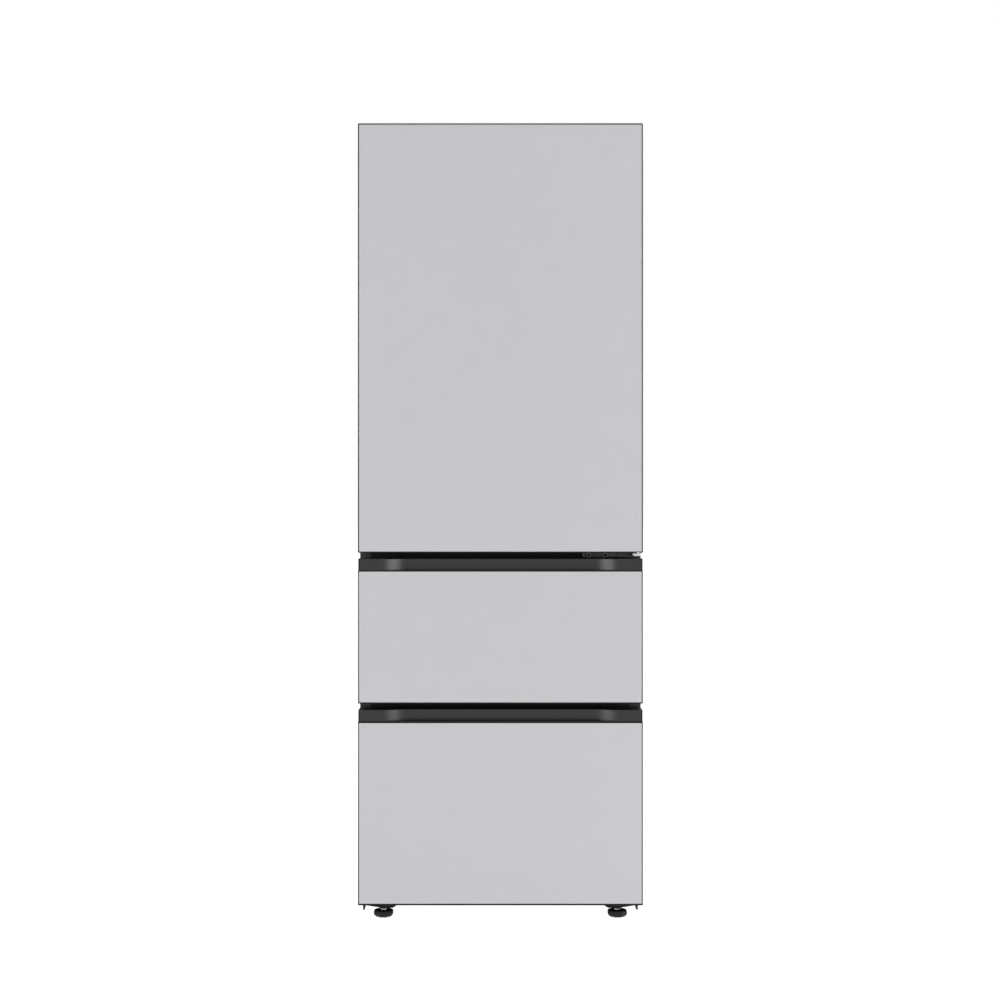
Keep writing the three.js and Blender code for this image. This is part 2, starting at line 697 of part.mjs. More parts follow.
// A tray with the inner slide member along each side.
function tray(place, length, height) {
  const floor = place.floor + trayFloorGap;
  const body = tub([-trayHalf, trayHalf], [trayFront, trayFront + length], [floor, floor + height], trayWall);
  const grow = railSection.sheet + fit;
  const z = place.floor + railHeight + 2 * grow;
  const tall = railSection.height - 4 * grow;
  return body.add(bothSides((side) => block(onSide(side, trayHalf - 1, memberOuter),
    [slideStart, trayFront + length], [z, z + tall])));
}

const containerGap = 4;
const containerLength = middleTrayLength - 2 * trayWall - 2 * runningFit;

function containerPlace() {
  const x = [containerGap / 2, trayHalf - trayWall - 2];
  const y = [trayFront + trayWall + runningFit, trayFront + trayWall + runningFit + containerLength];
  const z = rooms.middle.floor + trayFloorGap + trayWall + fit;
  return { x, y, z: [z, z + containerHeight] };
}

function container(side) {
  const place = containerPlace();
  return tub(onSide(side, ...place.x), place.y, place.z, containerWall);
}

// A flat lid with a shallow plug that sits inside the walls.
function containerLid(side) {
  const place = containerPlace();
  const x = onSide(side, ...place.x);
  const top = place.z[1] + fit;
  const inset = containerWall + 0.7;
  const plate = block([x[0] - 1, x[1] + 1], [place.y[0] - 1, place.y[1] + 1], [top, top + lidThickness]);
  const plug = block([x[0] + inset, x[1] - inset], [place.y[0] + inset, place.y[1] - inset],
    [top - lidThickness, top + 1]);
  return plate.add(plug);
}

const interior = assembly(0, 0, 0);
for (const [side, hand] of [[-1, 'left'], [1, 'right']]) {
  addPiece(interior, `middle_rail_${hand}`, fixedRail(side, rooms.middle, middleTrayLength), finishes.zinc);
  addPiece(interior, `lower_rail_${hand}`, fixedRail(side, rooms.lower, lowerTrayLength), finishes.zinc);
  addPiece(interior, `container_${hand}`, container(side), finishes.containerPlastic);
  addPiece(interior, `lid_${hand}`, containerLid(side), finishes.trayPlastic);
}
const carriageExtra = 24;
addPiece(interior, 'middle_slide_carriage',
  slideCarriage(rooms.middle, middleTrayLength + carriageExtra), finishes.zinc);
addPiece(interior, 'lower_slide_carriage',
  slideCarriage(rooms.lower, lowerTrayLength + carriageExtra), finishes.zinc);
addPiece(interior, 'middle_tray',
  tray(rooms.middle, middleTrayLength, middleTrayHeight), finishes.trayPlastic);
addPiece(interior, 'lower_tray',
  tray(rooms.lower, lowerTrayLength, lowerTrayHeight), finishes.trayPlastic);

// ------------------------------------------------------------- cold air circuit
const coldFan = { radius: 46, hole: 54, fromCeiling: 110, thickness: 16 };
const coldFanZ = rooms.upper.ceiling - coldFan.fromCeiling;
const coldPlateHalf = openingHalf - coldPlate.sideGap;
const bossRadius = 14;
const bossRise = 4;
const spokeWidth = 8;

// A cross of two spokes with a boss, which carries a fan in its round hole.
// The fan's axis lies along Y.
function spider(hole, [y0, y1], z) {
  const vertical = wideBlock(spokeWidth / 2, [y0, y1], [z - hole - 2, z + hole + 2]);
  const level = wideBlock(hole + 2, [y0, y1], [z - spokeWidth / 2, z + spokeWidth / 2]);
  return vertical.add(level).add(bar('y', bossRadius, [y0, y1 + bossRise], { x: 0, z }));
}

function evaporatorCover() {
  const y = [coldPlateFront, coldPlateFront + coldPlate.sheet];
  const z = [rooms.upper.floor + 12, rooms.upper.ceiling - 20];
  const plate = wideBlock(coldPlateHalf, [y[0], rooms.upper.back - fit], z);
  const hollow = wideBlock(coldPlateHalf - coldPlate.sheet, [y[1], rooms.upper.back], [z[0] - 1, z[1] + 1]);
  const hole = bar('y', coldFan.hole, [y[0] - 1, y[1] + 1], { x: 0, z: coldFanZ }, 32);
  return plate.subtract(hollow).subtract(hole).add(spider(coldFan.hole, y, coldFanZ));
}

// A hub with thin blades set at an angle, turning on Y at the middle of its group.
function fan(radius, thickness, blades) {
  const pitch = Math.PI / 6;
  let rotor = bar('y', bossRadius, [0, thickness], { x: 0, z: 0 });
  for (let i = 0; i < blades; i += 1) {
    const geometry = new THREE.BoxGeometry(radius - bossRadius + 4, 2, thickness);
    geometry.rotateX(pitch);
    geometry.translate((radius + bossRadius - 4) / 2, thickness / 2, 0);
    geometry.rotateY((2 * Math.PI * i) / blades);
    rotor = rotor.add(toSolid(geometry));
  }
  return rotor;
}

// A coil block: a finned body with grooves across its face.
function finnedBlock([x0, x1], [y0, y1], [z0, z1], fins) {
  let body = block([x0, x1], [y0, y1], [z0, z1]);
  const pitch = (z1 - z0) / fins;
  for (let i = 0; i < fins; i += 1) {
    const low = z0 + (i + 0.3) * pitch;
    body = body.subtract(block([x0 - 1, x1 + 1], [y0 - 1, y0 + (y1 - y0) * 0.6], [low, low + pitch * 0.4]));
  }
  return body;
}

const evaporatorBlock = { sideGap: 58, thickness: 18, height: 420, lift: 60 };
const evaporatorHalf = openingHalf - evaporatorBlock.sideGap;
const evaporatorZ = rooms.upper.floor + evaporatorBlock.lift;
const coldFanGroup = assembly(0, coldPlateFront + coldPlate.sheet + bossRise + fit, coldFanZ);
addPiece(cabinet, 'evaporator_cover', evaporatorCover(), finishes.linerPlastic);
addPiece(cabinet, 'evaporator', finnedBlock([-evaporatorHalf, evaporatorHalf],
  [rooms.upper.back - fit - evaporatorBlock.thickness, rooms.upper.back - fit],
  [evaporatorZ, evaporatorZ + evaporatorBlock.height], 14), finishes.aluminium);
addPiece(coldFanGroup, 'evaporator_fan', fan(coldFan.radius, coldFan.thickness, 5), finishes.blackPlastic);

const controls = { half: 110, setback: 27, depth: 90, thickness: 12 };
const controlsFront = cabinetFront + controls.setback;
addPiece(cabinet, 'control_panel', wideBlock(controls.half, [controlsFront, controlsFront + controls.depth],
  [rooms.upper.ceiling - fit - controls.thickness, rooms.upper.ceiling - fit]), finishes.blackPlastic);
addPiece(cabinet, 'control_box', wideBlock(controlBox.half,
  [cabinetBack - controlBox.depth, cabinetBack - fit], controlBoxZ), finishes.blackPlastic);

// ----------------------------------------------------------------- machine room
const machineFloor = basePlateBottom + basePlate + fit;
const machineY = (machineRoomFront + cabinetBack) / 2;
const hotFan = { radius: 72, hole: 78, x: 70, sheet: 4, thickness: 20, height: 115, half: 95, foot: 30 };
const hotFanZ = machineFloor + hotFan.height;
const compressorShell = { fromSide: 163, radius: 80, foot: 58, shoulder: 52, height: 160, lift: 9 };
const compressorPlate = { halfWidth: 100, halfLength: 70, lift: 8, thickness: 4 };
const rubberMount = { radius: 10, inset: 14, rise: 6 };
const condenserBlock = { fromSide: 43, fanGap: 31.7, halfLength: 75, height: 200 };

// A sealed shell on a plate with four rubber mounts.
function compressor() {
  const centre = { x: compressorShell.fromSide - caseHalf, y: machineY };
  const { radius, foot, shoulder, height } = compressorShell;
  const profile = [[0, 0], [foot, 0], [radius * 0.95, height * 0.14], [radius, height * 0.44],
    [radius * 0.95, height * 0.7], [shoulder, height * 0.94], [0, height]];
  const shell = new THREE.LatheGeometry(profile.map(([r, z]) => new THREE.Vector2(r, z)), 20);
  shell.rotateX(Math.PI / 2);
  shell.translate(centre.x, centre.y, machineFloor + compressorShell.lift);
  const { halfWidth, halfLength, lift, thickness } = compressorPlate;
  const plateZ = [machineFloor + lift, machineFloor + lift + thickness];
  let whole = toSolid(shell).add(block([centre.x - halfWidth, centre.x + halfWidth],
    [centre.y - halfLength, centre.y + halfLength], plateZ));
  for (const dx of [-1, 1]) {
    for (const dy of [-1, 1]) {
      const place = {
        x: centre.x + dx * (halfWidth - rubberMount.inset),
        y: centre.y + dy * (halfLength - rubberMount.inset),
      };
      const mountZ = [machineFloor, plateZ[1] + rubberMount.rise];
      whole = whole.add(bar('z', rubberMount.radius, mountZ, place, 12));
    }
  }
  return whole;
}

// The upright plate that carries the fan between the condenser and the compressor.
// It is drawn across Y and then turned, so that the fan blows along X.
function fanShroud() {
  const y = [0, hotFan.sheet];
  const plate = wideBlock(hotFan.half, y, [machineFloor, hotFanZ + hotFan.half]);
  const foot = wideBlock(hotFan.half, [0, hotFan.foot], [machineFloor, machineFloor + hotFan.sheet]);
  const hole = bar('y', hotFan.hole, [-1, hotFan.sheet + 1], { x: 0, z: hotFanZ }, 32);
  return plate.subtract(hole).add(foot).add(spider(hotFan.hole, y, hotFanZ));
}

const shroudGroup = assembly(hotFan.x, machineY, 0);
shroudGroup.rotation.z = -Math.PI / 2;
const hotFanX = hotFan.x + hotFan.sheet + bossRise + fit;
const hotFanGroup = assembly(hotFanX, machineY, hotFanZ);
hotFanGroup.rotation.z = -Math.PI / 2;

const louvre = { count: 9, height: 6, pitch: 16, inner: 60, fromSide: 43, bottom: 110 };
const inlet = { x: 83 - caseHalf, z: 80, radius: 5, boss: 12, depth: 16 };
const machineCover = [basePlateBottom + 8, machineRoomTop];

// The rear cover of the machine room, with air slots and the inlet for the cord.
function machineRoomCover() {
  const y = [cabinetBack + fit, overallDepth / 2];
  const boss = bar('y', inlet.boss, [cabinetBack - inlet.depth, y[0] + 1], inlet);
  let cover = wideBlock(caseHalf, y, machineCover).add(boss);
  for (const side of [-1, 1]) {
    for (let i = 0; i < louvre.count; i += 1) {
      const z = louvre.bottom + i * louvre.pitch;
      const x = onSide(side, louvre.inner, caseHalf - louvre.fromSide);
      cover = cover.subtract(block(x, [y[0] - 1, y[1] + 1], [z, z + louvre.height]));
    }
  }
  return cover.subtract(bar('y', inlet.radius, [cabinetBack - inlet.depth - 1, y[1] + 1], inlet));
}

addPiece(cabinet, 'back_panel', wideBlock(caseHalf, [cabinetBack + fit, overallDepth / 2],
  [machineRoomTop + fit, caseTop]), finishes.galvanised);
addPiece(cabinet, 'machine_room_cover', machineRoomCover(), finishes.blackPlastic);
addPiece(cabinet, 'compressor', compressor(), finishes.compressorPaint);
addPiece(cabinet, 'condenser', finnedBlock(
  [hotFanX + hotFan.thickness + condenserBlock.fanGap, caseHalf - condenserBlock.fromSide],
  [machineY - condenserBlock.halfLength, machineY + condenserBlock.halfLength],
  [machineFloor, machineFloor + condenserBlock.height], 12), finishes.aluminium);
addPiece(shroudGroup, 'condenser_fan_shroud', fanShroud(), finishes.blackPlastic);
addPiece(hotFanGroup, 'condenser_fan', fan(hotFan.radius, hotFan.thickness, 5), finishes.blackPlastic);

export default refrigerator;
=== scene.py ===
"""Stand-type kimchi refrigerator: one hinged door over two deep drawers.

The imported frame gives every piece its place. Most pieces are built again here with
softened edges and the details of the real thing, and the rest keep their solids and
get a finish. Lengths are metres: X to the right, Y to the back, Z up.
"""
import json
import logging
import math
from dataclasses import dataclass
from enum import Enum
from typing import Callable, Iterable, Optional, Sequence, Union

import bmesh
import bpy
from bmesh.types import BMEdge, BMFace, BMVert, BMesh
from mathutils import Matrix, Vector


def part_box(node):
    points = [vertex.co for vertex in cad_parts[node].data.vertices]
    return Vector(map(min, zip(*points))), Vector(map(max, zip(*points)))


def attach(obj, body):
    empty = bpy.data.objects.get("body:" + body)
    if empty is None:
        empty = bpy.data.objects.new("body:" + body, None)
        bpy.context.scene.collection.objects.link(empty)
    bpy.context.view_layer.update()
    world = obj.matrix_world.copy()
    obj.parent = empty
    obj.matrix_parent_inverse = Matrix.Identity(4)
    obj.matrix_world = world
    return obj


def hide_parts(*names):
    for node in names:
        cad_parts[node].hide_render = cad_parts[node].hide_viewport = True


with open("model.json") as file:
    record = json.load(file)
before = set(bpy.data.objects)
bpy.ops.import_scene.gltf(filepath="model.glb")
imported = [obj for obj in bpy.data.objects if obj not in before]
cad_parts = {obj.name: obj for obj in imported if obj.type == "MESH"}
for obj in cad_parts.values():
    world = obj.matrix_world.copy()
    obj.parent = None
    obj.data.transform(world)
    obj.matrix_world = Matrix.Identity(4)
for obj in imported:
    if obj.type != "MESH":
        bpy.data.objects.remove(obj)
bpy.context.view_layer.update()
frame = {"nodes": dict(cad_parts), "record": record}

MM = 0.001
# How far apart two places may lie and still be taken for one: exactly, nearly and loosely.
SAME, NEAR, LOOSE = 1e-6, 1e-5, 1e-4
log = logging.getLogger("refrigerator")

Point = Sequence[float]
Geometry = Union[BMVert, BMEdge, BMFace]
Tree = bpy.types.NodeTree
Node = bpy.types.Node
Socket = bpy.types.NodeSocket
Value = Union[bpy.types.NodeSocket, float]


# --------------------------------------------------------------------- mesh tools
def in_mm(*points: Point) -> list[tuple[float, ...]]:
    """Gives points in metres from points in millimetres."""
    return [tuple(value * MM for value in point) for point in points]


def block(low: Point, high: Point) -> BMesh:
    """Builds a plain block between two corners.

    Args:
        low: The lowest corner, in metres.
        high: The highest corner, in metres.

    Returns:
        The shape.
    """
    low, high = Vector(low), Vector(high)
    bm = bmesh.new()
    made = bmesh.ops.create_cube(bm, size=1.0)["verts"]
    bmesh.ops.scale(bm, vec=high - low, verts=made)
    bmesh.ops.translate(bm, vec=(low + high) / 2, verts=made)
    return bm


def all_of(bm: BMesh) -> list[Geometry]:
    """Gives every point, edge and face of a shape."""
    return bm.verts[:] + bm.edges[:] + bm.faces[:]


def only(kind: type, geometry: Iterable[Geometry]) -> list[Geometry]:
    """Gives what is of one kind among points, edges and faces."""
    return [g for g in geometry if isinstance(g, kind)]


def face_out(bm: BMesh) -> None:
    """Turns every face of a shape outwards."""
    bmesh.ops.recalc_face_normals(bm, faces=bm.faces[:])


def swing(bm: BMesh, axis: str, angle: float) -> None:
    """Turns a shape about the axis X, Y or Z by an angle in radians."""
    bmesh.ops.rotate(bm, cent=(0, 0, 0), matrix=Matrix.Rotation(angle, 3, axis), verts=bm.verts[:])


def edges_of(verts: Iterable[BMVert]) -> list[BMEdge]:
    """Gives the edges whose two ends are both among the given points."""
    chosen = set(verts)
    near = {e for v in chosen for e in v.link_edges}
    return [e for e in near if all(v in chosen for v in e.verts)]


def sharp_edges(bm: BMesh, least_degrees: float = 40.0) -> list[BMEdge]:
    """Gives the edges where two faces meet at more than an angle."""
    least = math.radians(least_degrees)
    return [e for e in bm.edges if len(e.link_faces) == 2 and e.calc_face_angle(0.0) > least]


def edges_along(edges: Iterable[BMEdge], axis: int) -> list[BMEdge]:
    """Gives the edges that run along one axis: 0 for X, 1 for Y, 2 for Z."""
    found = []
    for edge in edges:
        run = edge.verts[1].co - edge.verts[0].co
        if run.length > 0 and abs(run[axis]) > 0.999 * run.length:
            found.append(edge)
    return found


def soften(bm: BMesh, edges: Iterable[BMEdge], width: float, segments: int = 2) -> None:
    """Rounds the given edges by a width in metres, in a number of steps."""
    bmesh.ops.bevel(bm, geom=list(edges), offset=width, offset_type="OFFSET", segments=segments,
                    profile=0.5, affect="EDGES", material=-1, clamp_overlap=True)


def faces_at(bm: BMesh, axis: int, value: float) -> list[BMFace]:
    """Gives the faces that lie in a plane across one axis, at a value on it."""
    return [f for f in bm.faces
            if abs(f.normal[axis]) > 0.99 and all(abs(v.co[axis] - value) < 2 * NEAR for v in f.verts)]


def inset(bm: BMesh, faces: Sequence[BMFace], width: float, rise: float = 0.0) -> None:
    """Leaves a border round flat faces and raises what is inside it, or sinks it by a negative rise."""
    bmesh.ops.inset_region(bm, faces=list(faces), thickness=width, depth=rise, use_even_offset=True)


def push(bm: BMesh, faces: Sequence[BMFace], shift: Point) -> list[Geometry]:
    """Moves faces away and joins them by walls to the border that they leave.

    Args:
        bm: The mesh that holds the faces.
        faces: The faces. They are replaced by the moved ones.
        shift: How far they move.

    Returns:
        The moved points, edges and faces.
    """
    grown = bmesh.ops.extrude_face_region(bm, geom=faces)["geom"]
    bmesh.ops.delete(bm, geom=[f for f in faces if f.is_valid], context="FACES")
    bmesh.ops.translate(bm, vec=shift, verts=only(BMVert, grown))
    return grown


def solid_copy(node: str) -> BMesh:
    """Copies a node's solid with its loose triangles joined and its flat faces whole.

    Args:
        node: The node's name.

    Returns:
        The copy, in the refrigerator's own frame.
    """
    bm = bmesh.new()
    bm.from_mesh(frame["nodes"][node].data)
    bmesh.ops.remove_doubles(bm, verts=bm.verts[:], dist=SAME)
    bmesh.ops.dissolve_limit(bm, angle_limit=math.radians(0.5), verts=bm.verts[:], edges=bm.edges[:])
    return bm


def cut_off(bm: BMesh, axis: int, value: float, keep: int) -> None:
    """Cuts a shape across one axis, drops one side and closes the cut.

    Args:
        bm: The shape.
        axis: The axis that the cut lies across.
        value: Where the cut lies on it.
        keep: 1 to keep the part above the cut and -1 to keep the part below it.
    """
    place, normal = Vector(), Vector()
    place[axis], normal[axis] = value, -keep
    cut = bmesh.ops.bisect_plane(bm, geom=all_of(bm), clear_outer=True, plane_co=place,
                                 plane_no=normal)["geom_cut"]
    bmesh.ops.edgeloop_fill(bm, edges=only(BMEdge, cut))
    face_out(bm)


def across(bm: BMesh, axis: int, value: float) -> None:
    """Cuts every face where it crosses a plane across one axis."""
    place, normal = Vector(), Vector()
    place[axis], normal[axis] = value, 1.0
    bmesh.ops.bisect_plane(bm, geom=all_of(bm), plane_co=place, plane_no=normal)


def is_within(face: BMFace, half: float, y_range: tuple[float, float]) -> bool:
    """Says whether a face lies within a width about the middle and between two depths."""
    at = face.calc_center_median()
    return abs(at.x) < half and y_range[0] < at.y < y_range[1]


def add_tube(bm: BMesh, route: Sequence[Vector], radius: float, sides: int = 12) -> None:
    """Adds a tube with closed ends along a route, with a ring of points at each stop.

    Args:
        bm: The mesh to add to.
        route: The stops of the tube's centre line.
        radius: The tube's radius.
        sides: The number of sides.
    """
    ring = bmesh.ops.create_circle(bm, cap_ends=False, segments=sides, radius=radius)["verts"]
    heading = (route[1] - route[0]).normalized()
    turn = Vector((0, 0, 1)).rotation_difference(heading).to_matrix().to_4x4()
    bmesh.ops.transform(bm, matrix=Matrix.Translation(route[0]) @ turn, verts=ring)
    bmesh.ops.contextual_create(bm, geom=edges_of(ring))
    loop = edges_of(ring)
    for i in range(1, len(route)):
        ahead = (route[min(i + 1, len(route) - 1)] - route[i - 1]).normalized()
        grown = bmesh.ops.extrude_edge_only(bm, edges=loop)["geom"]
        ring = only(BMVert, grown)
        turn = heading.rotation_difference(ahead).to_matrix().to_4x4()
        shift = Matrix.Translation(route[i]) @ turn @ Matrix.Translation(-route[i - 1])
        bmesh.ops.transform(bm, matrix=shift, verts=ring)
        loop = edges_of(ring)
        heading = ahead
    bmesh.ops.contextual_create(bm, geom=loop)


def spun(profile: Sequence[Point], steps: int = 48) -> BMesh:
    """Turns an outline of radius and height round the Z axis.

    Args:
        profile: Points of radius and height in metres, from the axis to the axis.
        steps: The number of steps in the full turn.

    Returns:
        The closed shape, with its normals out.
    """
    bm = bmesh.new()
    line = [bmesh.ops.create_vert(bm, co=(r, 0, z))["vert"][0] for r, z in profile]
    edges = [bm.edges.new(pair) for pair in zip(line, line[1:])]
    bmesh.ops.spin(bm, geom=line + edges, axis=(0, 0, 1), cent=(0, 0, 0), angle=2 * math.pi,
                   steps=steps, use_merge=True)
    bmesh.ops.remove_doubles(bm, verts=bm.verts[:], dist=SAME)
    face_out(bm)
    return bm


def turned(bm: BMesh, axis: str, centre: Point) -> BMesh:
    """Lays a shape that stands on the Z axis along another axis and puts it in place.

    Args:
        bm: The shape, drawn round the Z axis.
        axis: "X", "Y" or "Z": where its own Z axis points afterwards.
        centre: Where its own origin goes.

    Returns:
        The same shape.
    """
    turns = {"X": Matrix.Rotation(math.pi / 2, 4, "Y"), "Y": Matrix.Rotation(-math.pi / 2, 4, "X"),
             "Z": Matrix.Identity(4)}
    bmesh.ops.transform(bm, matrix=Matrix.Translation(Vector(centre)) @ turns[axis], verts=bm.verts[:])
    return bm


def joined(*parts: BMesh) -> BMesh:
    """Puts the faces of several shapes into the first one and frees the others."""
    whole = parts[0]
    for part in parts[1:]:
        scratch = bpy.data.meshes.new("scratch")
        part.to_mesh(scratch)
        whole.from_mesh(scratch)
        part.free()
        bpy.data.meshes.remove(scratch)
    return whole


# ----------------------------------------------------------------------- finishes
class Pattern(Enum):
    """The small-scale detail that a surface shows."""

    SATIN = "satin"
    SPANGLE = "spangle"
    PEBBLE = "pebble"
    CELLS = "cells"


DUST_COLOUR = (0.38, 0.36, 0.33, 1.0)
# Outer edges are lightened towards this colour: partly rubbed wear, partly a painted highlight.
WORN_AND_HIGHLIGHT_COLOUR = (0.45, 0.45, 0.46, 1.0)
WORN_AND_HIGHLIGHT_POINTINESS = (0.52, 0.62)
DUST_SCALE = 40.0
WEAR_AND_HIGHLIGHT_SCALE = 140.0


class Effects:
    """The shader groups that several finishes share. Each puts out colours and values only."""

    def __init__(self) -> None:
        """Builds every group once."""
        self.groups = {
            Pattern.SATIN: self.satin(),
            Pattern.SPANGLE: self.spangle(),
            Pattern.PEBBLE: self.pebble(),
            Pattern.CELLS: self.cells(),
        }
        self.dust = self.settled_dust()
        self.wear_and_highlight = self.edge_wear_and_highlight()

    @staticmethod
    def start(name: str, full: bool = True) -> tuple[Tree, Node, Node]:
        """Starts a surface group with the sockets that all of them have.

        Args:
            name: The group's name.
            full: Whether it puts out a roughness and a height beside the colour.

        Returns:
            The group, its input node and its output node.
        """
        tree = bpy.data.node_groups.new(name, "ShaderNodeTree")
        sockets = [("Place", "NodeSocketVector"), ("Colour", "NodeSocketColor"), ("Scale", "NodeSocketFloat"),
                   ("Spread", "NodeSocketFloat"), ("Roughness", "NodeSocketFloat")]
        for label, kind in sockets:
            tree.interface.new_socket(label, in_out="INPUT", socket_type=kind)
        tree.interface.new_socket("Colour", in_out="OUTPUT", socket_type="NodeSocketColor")
        if full:
            tree.interface.new_socket("Roughness", in_out="OUTPUT", socket_type="NodeSocketFloat")
            tree.interface.new_socket("Height", in_out="OUTPUT", socket_type="NodeSocketFloat")
        return tree, tree.nodes.new("NodeGroupInput"), tree.nodes.new("NodeGroupOutput")

    @staticmethod
    def sum_of(tree: Tree, operation: str, first: Value, second: Value) -> Socket:
        """Adds a maths node whose inputs are sockets or plain numbers.

        Args:
            tree: The group to add it to.
            operation: The maths node's operation.
            first: The first socket or number.
            second: The second socket or number.

        Returns:
            The socket of the result.
        """
        node = tree.nodes.new("ShaderNodeMath")
        node.operation = operation
        for i, value in enumerate((first, second)):
            if isinstance(value, Socket):
                tree.links.new(value, node.inputs[i])
            else:
                node.inputs[i].default_value = value
        return node.outputs[0]

    @classmethod
    def noise(cls, tree: Tree, source: Node, detail: float, share: float = 1.0) -> Socket:
        """Adds a noise at a group's own place.

        Args:
            tree: The group to add it to.
            source: The group's input node.
            detail: How many finer layers it has.
            share: Its scale as a share of the group's own.

        Returns:
            The socket of its value.
        """
        scale = source.outputs["Scale"]
        if share != 1.0:
            scale = cls.sum_of(tree, "MULTIPLY", scale, share)
        node = tree.nodes.new("ShaderNodeTexNoise")
        node.inputs["Detail"].default_value = detail
        tree.links.new(source.outputs["Place"], node.inputs["Vector"])
        tree.links.new(scale, node.inputs["Scale"])
        return node.outputs["Fac"]

    @classmethod
    def shaded(cls, tree: Tree, colour: Socket, mask: Socket, spread: Socket) -> Socket:
        """Makes a colour lighter and darker by a mask.

        Args:
            tree: The group to add the nodes to.
            colour: The colour's socket.
            mask: A value from 0 to 1 whose middle leaves the colour as it is.
            spread: How strongly the mask changes the colour.

        Returns:
            The socket of the new colour.
        """
        centred = cls.sum_of(tree, "SUBTRACT", mask, 0.5)
        factor = cls.sum_of(tree, "ADD", cls.sum_of(tree, "MULTIPLY", centred, spread), 1.0)
        scaled = tree.nodes.new("ShaderNodeVectorMath")
        scaled.operation = "SCALE"
        tree.links.new(colour, scaled.inputs[0])
        tree.links.new(factor, scaled.inputs["Scale"])
        return scaled.outputs["Vector"]

    @classmethod
    def finish_group(cls, tree: Tree, source: Node, out: Node, shade: Socket,
                     rough: Socket, height: Socket) -> Tree:
        """Joins what a surface group works out to its outputs.

        Args:
            tree: The group.
            source: Its input node.
            out: Its output node.
            shade: The value that makes the colour lighter and darker.
            rough: The value that varies the roughness.
            height: The relief.

        Returns:
            The group.
        """
        given = source.outputs
        colour = cls.shaded(tree, given["Colour"], shade, given["Spread"])
        varied = cls.sum_of(tree, "MULTIPLY", cls.sum_of(tree, "SUBTRACT", rough, 0.5), given["Spread"])
        tree.links.new(colour, out.inputs["Colour"])
        tree.links.new(cls.sum_of(tree, "ADD", given["Roughness"], varied), out.inputs["Roughness"])
        tree.links.new(height, out.inputs["Height"])
        return tree

    @staticmethod
    def voronoi(tree: Tree, source: Node, feature: str = "F1") -> Node:
        """Adds a pattern of cells at a group's own place and scale.

        Args:
            tree: The group to add it to.
            source: The group's input node.
            feature: What the pattern measures in each cell.

        Returns:
            The pattern's node.
        """
        node = tree.nodes.new("ShaderNodeTexVoronoi")
        node.feature = feature
        tree.links.new(source.outputs["Place"], node.inputs["Vector"])
        tree.links.new(source.outputs["Scale"], node.inputs["Scale"])
        return node

    @classmethod
    def layered(cls, tree: Tree, source: Node, out: Node, cover: Value, patch: Value,
                colour: tuple[float, float, float, float]) -> Tree:
        """Lays a second colour over a group's own in patches.

        Args:
            tree: The group.
            source: Its input node.
            out: Its output node.
            cover: Where the second colour lies.
            patch: The value that breaks it up.
            colour: The second colour.

        Returns:
            The group.
        """
        mask = cls.sum_of(tree, "MULTIPLY", cls.sum_of(tree, "MULTIPLY", cover, patch),
                          source.outputs["Spread"])
        mix = tree.nodes.new("ShaderNodeMix")
        mix.data_type = "RGBA"
        tree.links.new(mask, mix.inputs[0])
        tree.links.new(source.outputs["Colour"], mix.inputs[6])
        mix.inputs[7].default_value = colour
        tree.links.new(mix.outputs[2], out.inputs["Colour"])
        return tree

    @classmethod
    def satin(cls) -> Tree:
        """Gives a coated surface: faint broad mottle over a very fine grain."""
        tree, source, out = cls.start("satin_coat")
        grain = cls.noise(tree, source, 3.0)
        broad = cls.noise(tree, source, 2.0, 0.012)
        mask = cls.sum_of(tree, "ADD", cls.sum_of(tree, "MULTIPLY", grain, 0.6),
                          cls.sum_of(tree, "MULTIPLY", broad, 0.4))
        return cls.finish_group(tree, source, out, mask, broad, grain)

    @classmethod
    def spangle(cls) -> Tree:
        """Gives zinc-coated sheet: flat crystals, each with its own shade."""
        tree, source, out = cls.start("zinc_spangle")
        crystal = cls.voronoi(tree, source)
        shade = tree.nodes.new("ShaderNodeSeparateColor")
        tree.links.new(crystal.outputs["Color"], shade.inputs["Color"])
        return cls.finish_group(tree, source, out, shade.outputs[0], shade.outputs[0],
                                crystal.outputs["Distance"])

    @classmethod
    def pebble(cls) -> Tree:
        """Gives moulded plastic: shallow rounded pebbles."""
        tree, source, out = cls.start("moulded_pebble")
        stone = cls.voronoi(tree, source, "SMOOTH_F1")
        broad = cls.noise(tree, source, 2.0, 0.02)
        return cls.finish_group(tree, source, out, broad, broad, stone.outputs["Distance"])

    @classmethod
    def cells(cls) -> Tree:
        """Gives foam: small pores of several sizes."""
        tree, source, out = cls.start("foam_cells")
        pore = cls.voronoi(tree, source)
        coarse = cls.noise(tree, source, 4.0, 0.1)
        mask = cls.sum_of(tree, "MULTIPLY", cls.sum_of(tree, "ADD", pore.outputs["Distance"], coarse), 0.55)
        return cls.finish_group(tree, source, out, mask, coarse, mask)

    @classmethod
    def settled_dust(cls) -> Tree:
        """Gives a colour with pale dust on the faces that look up."""
        tree, source, out = cls.start("settled_dust", full=False)
        patch = cls.noise(tree, source, 5.0)
        up = tree.nodes.new("ShaderNodeTexCoord")
        split = tree.nodes.new("ShaderNodeSeparateXYZ")
        tree.links.new(up.outputs["Normal"], split.inputs[0])
        facing = cls.sum_of(tree, "MAXIMUM", split.outputs["Z"], 0.0)
        return cls.layered(tree, source, out, facing, patch, DUST_COLOUR)

    @classmethod
    def edge_wear_and_highlight(cls) -> Tree:
        """Gives a colour that is lighter along its outer edges, partly rubbed wear and partly a painted
        highlight.
        """
        tree, source, out = cls.start("edge_wear_and_highlight", full=False)
        patch = cls.noise(tree, source, 4.0)
        shape = tree.nodes.new("ShaderNodeNewGeometry")
        edge = tree.nodes.new("ShaderNodeMapRange")
        edge.inputs["From Min"].default_value, edge.inputs["From Max"].default_value = WORN_AND_HIGHLIGHT_POINTINESS
        tree.links.new(shape.outputs["Pointiness"], edge.inputs["Value"])
        return cls.layered(tree, source, out, edge.outputs["Result"], patch, WORN_AND_HIGHLIGHT_COLOUR)


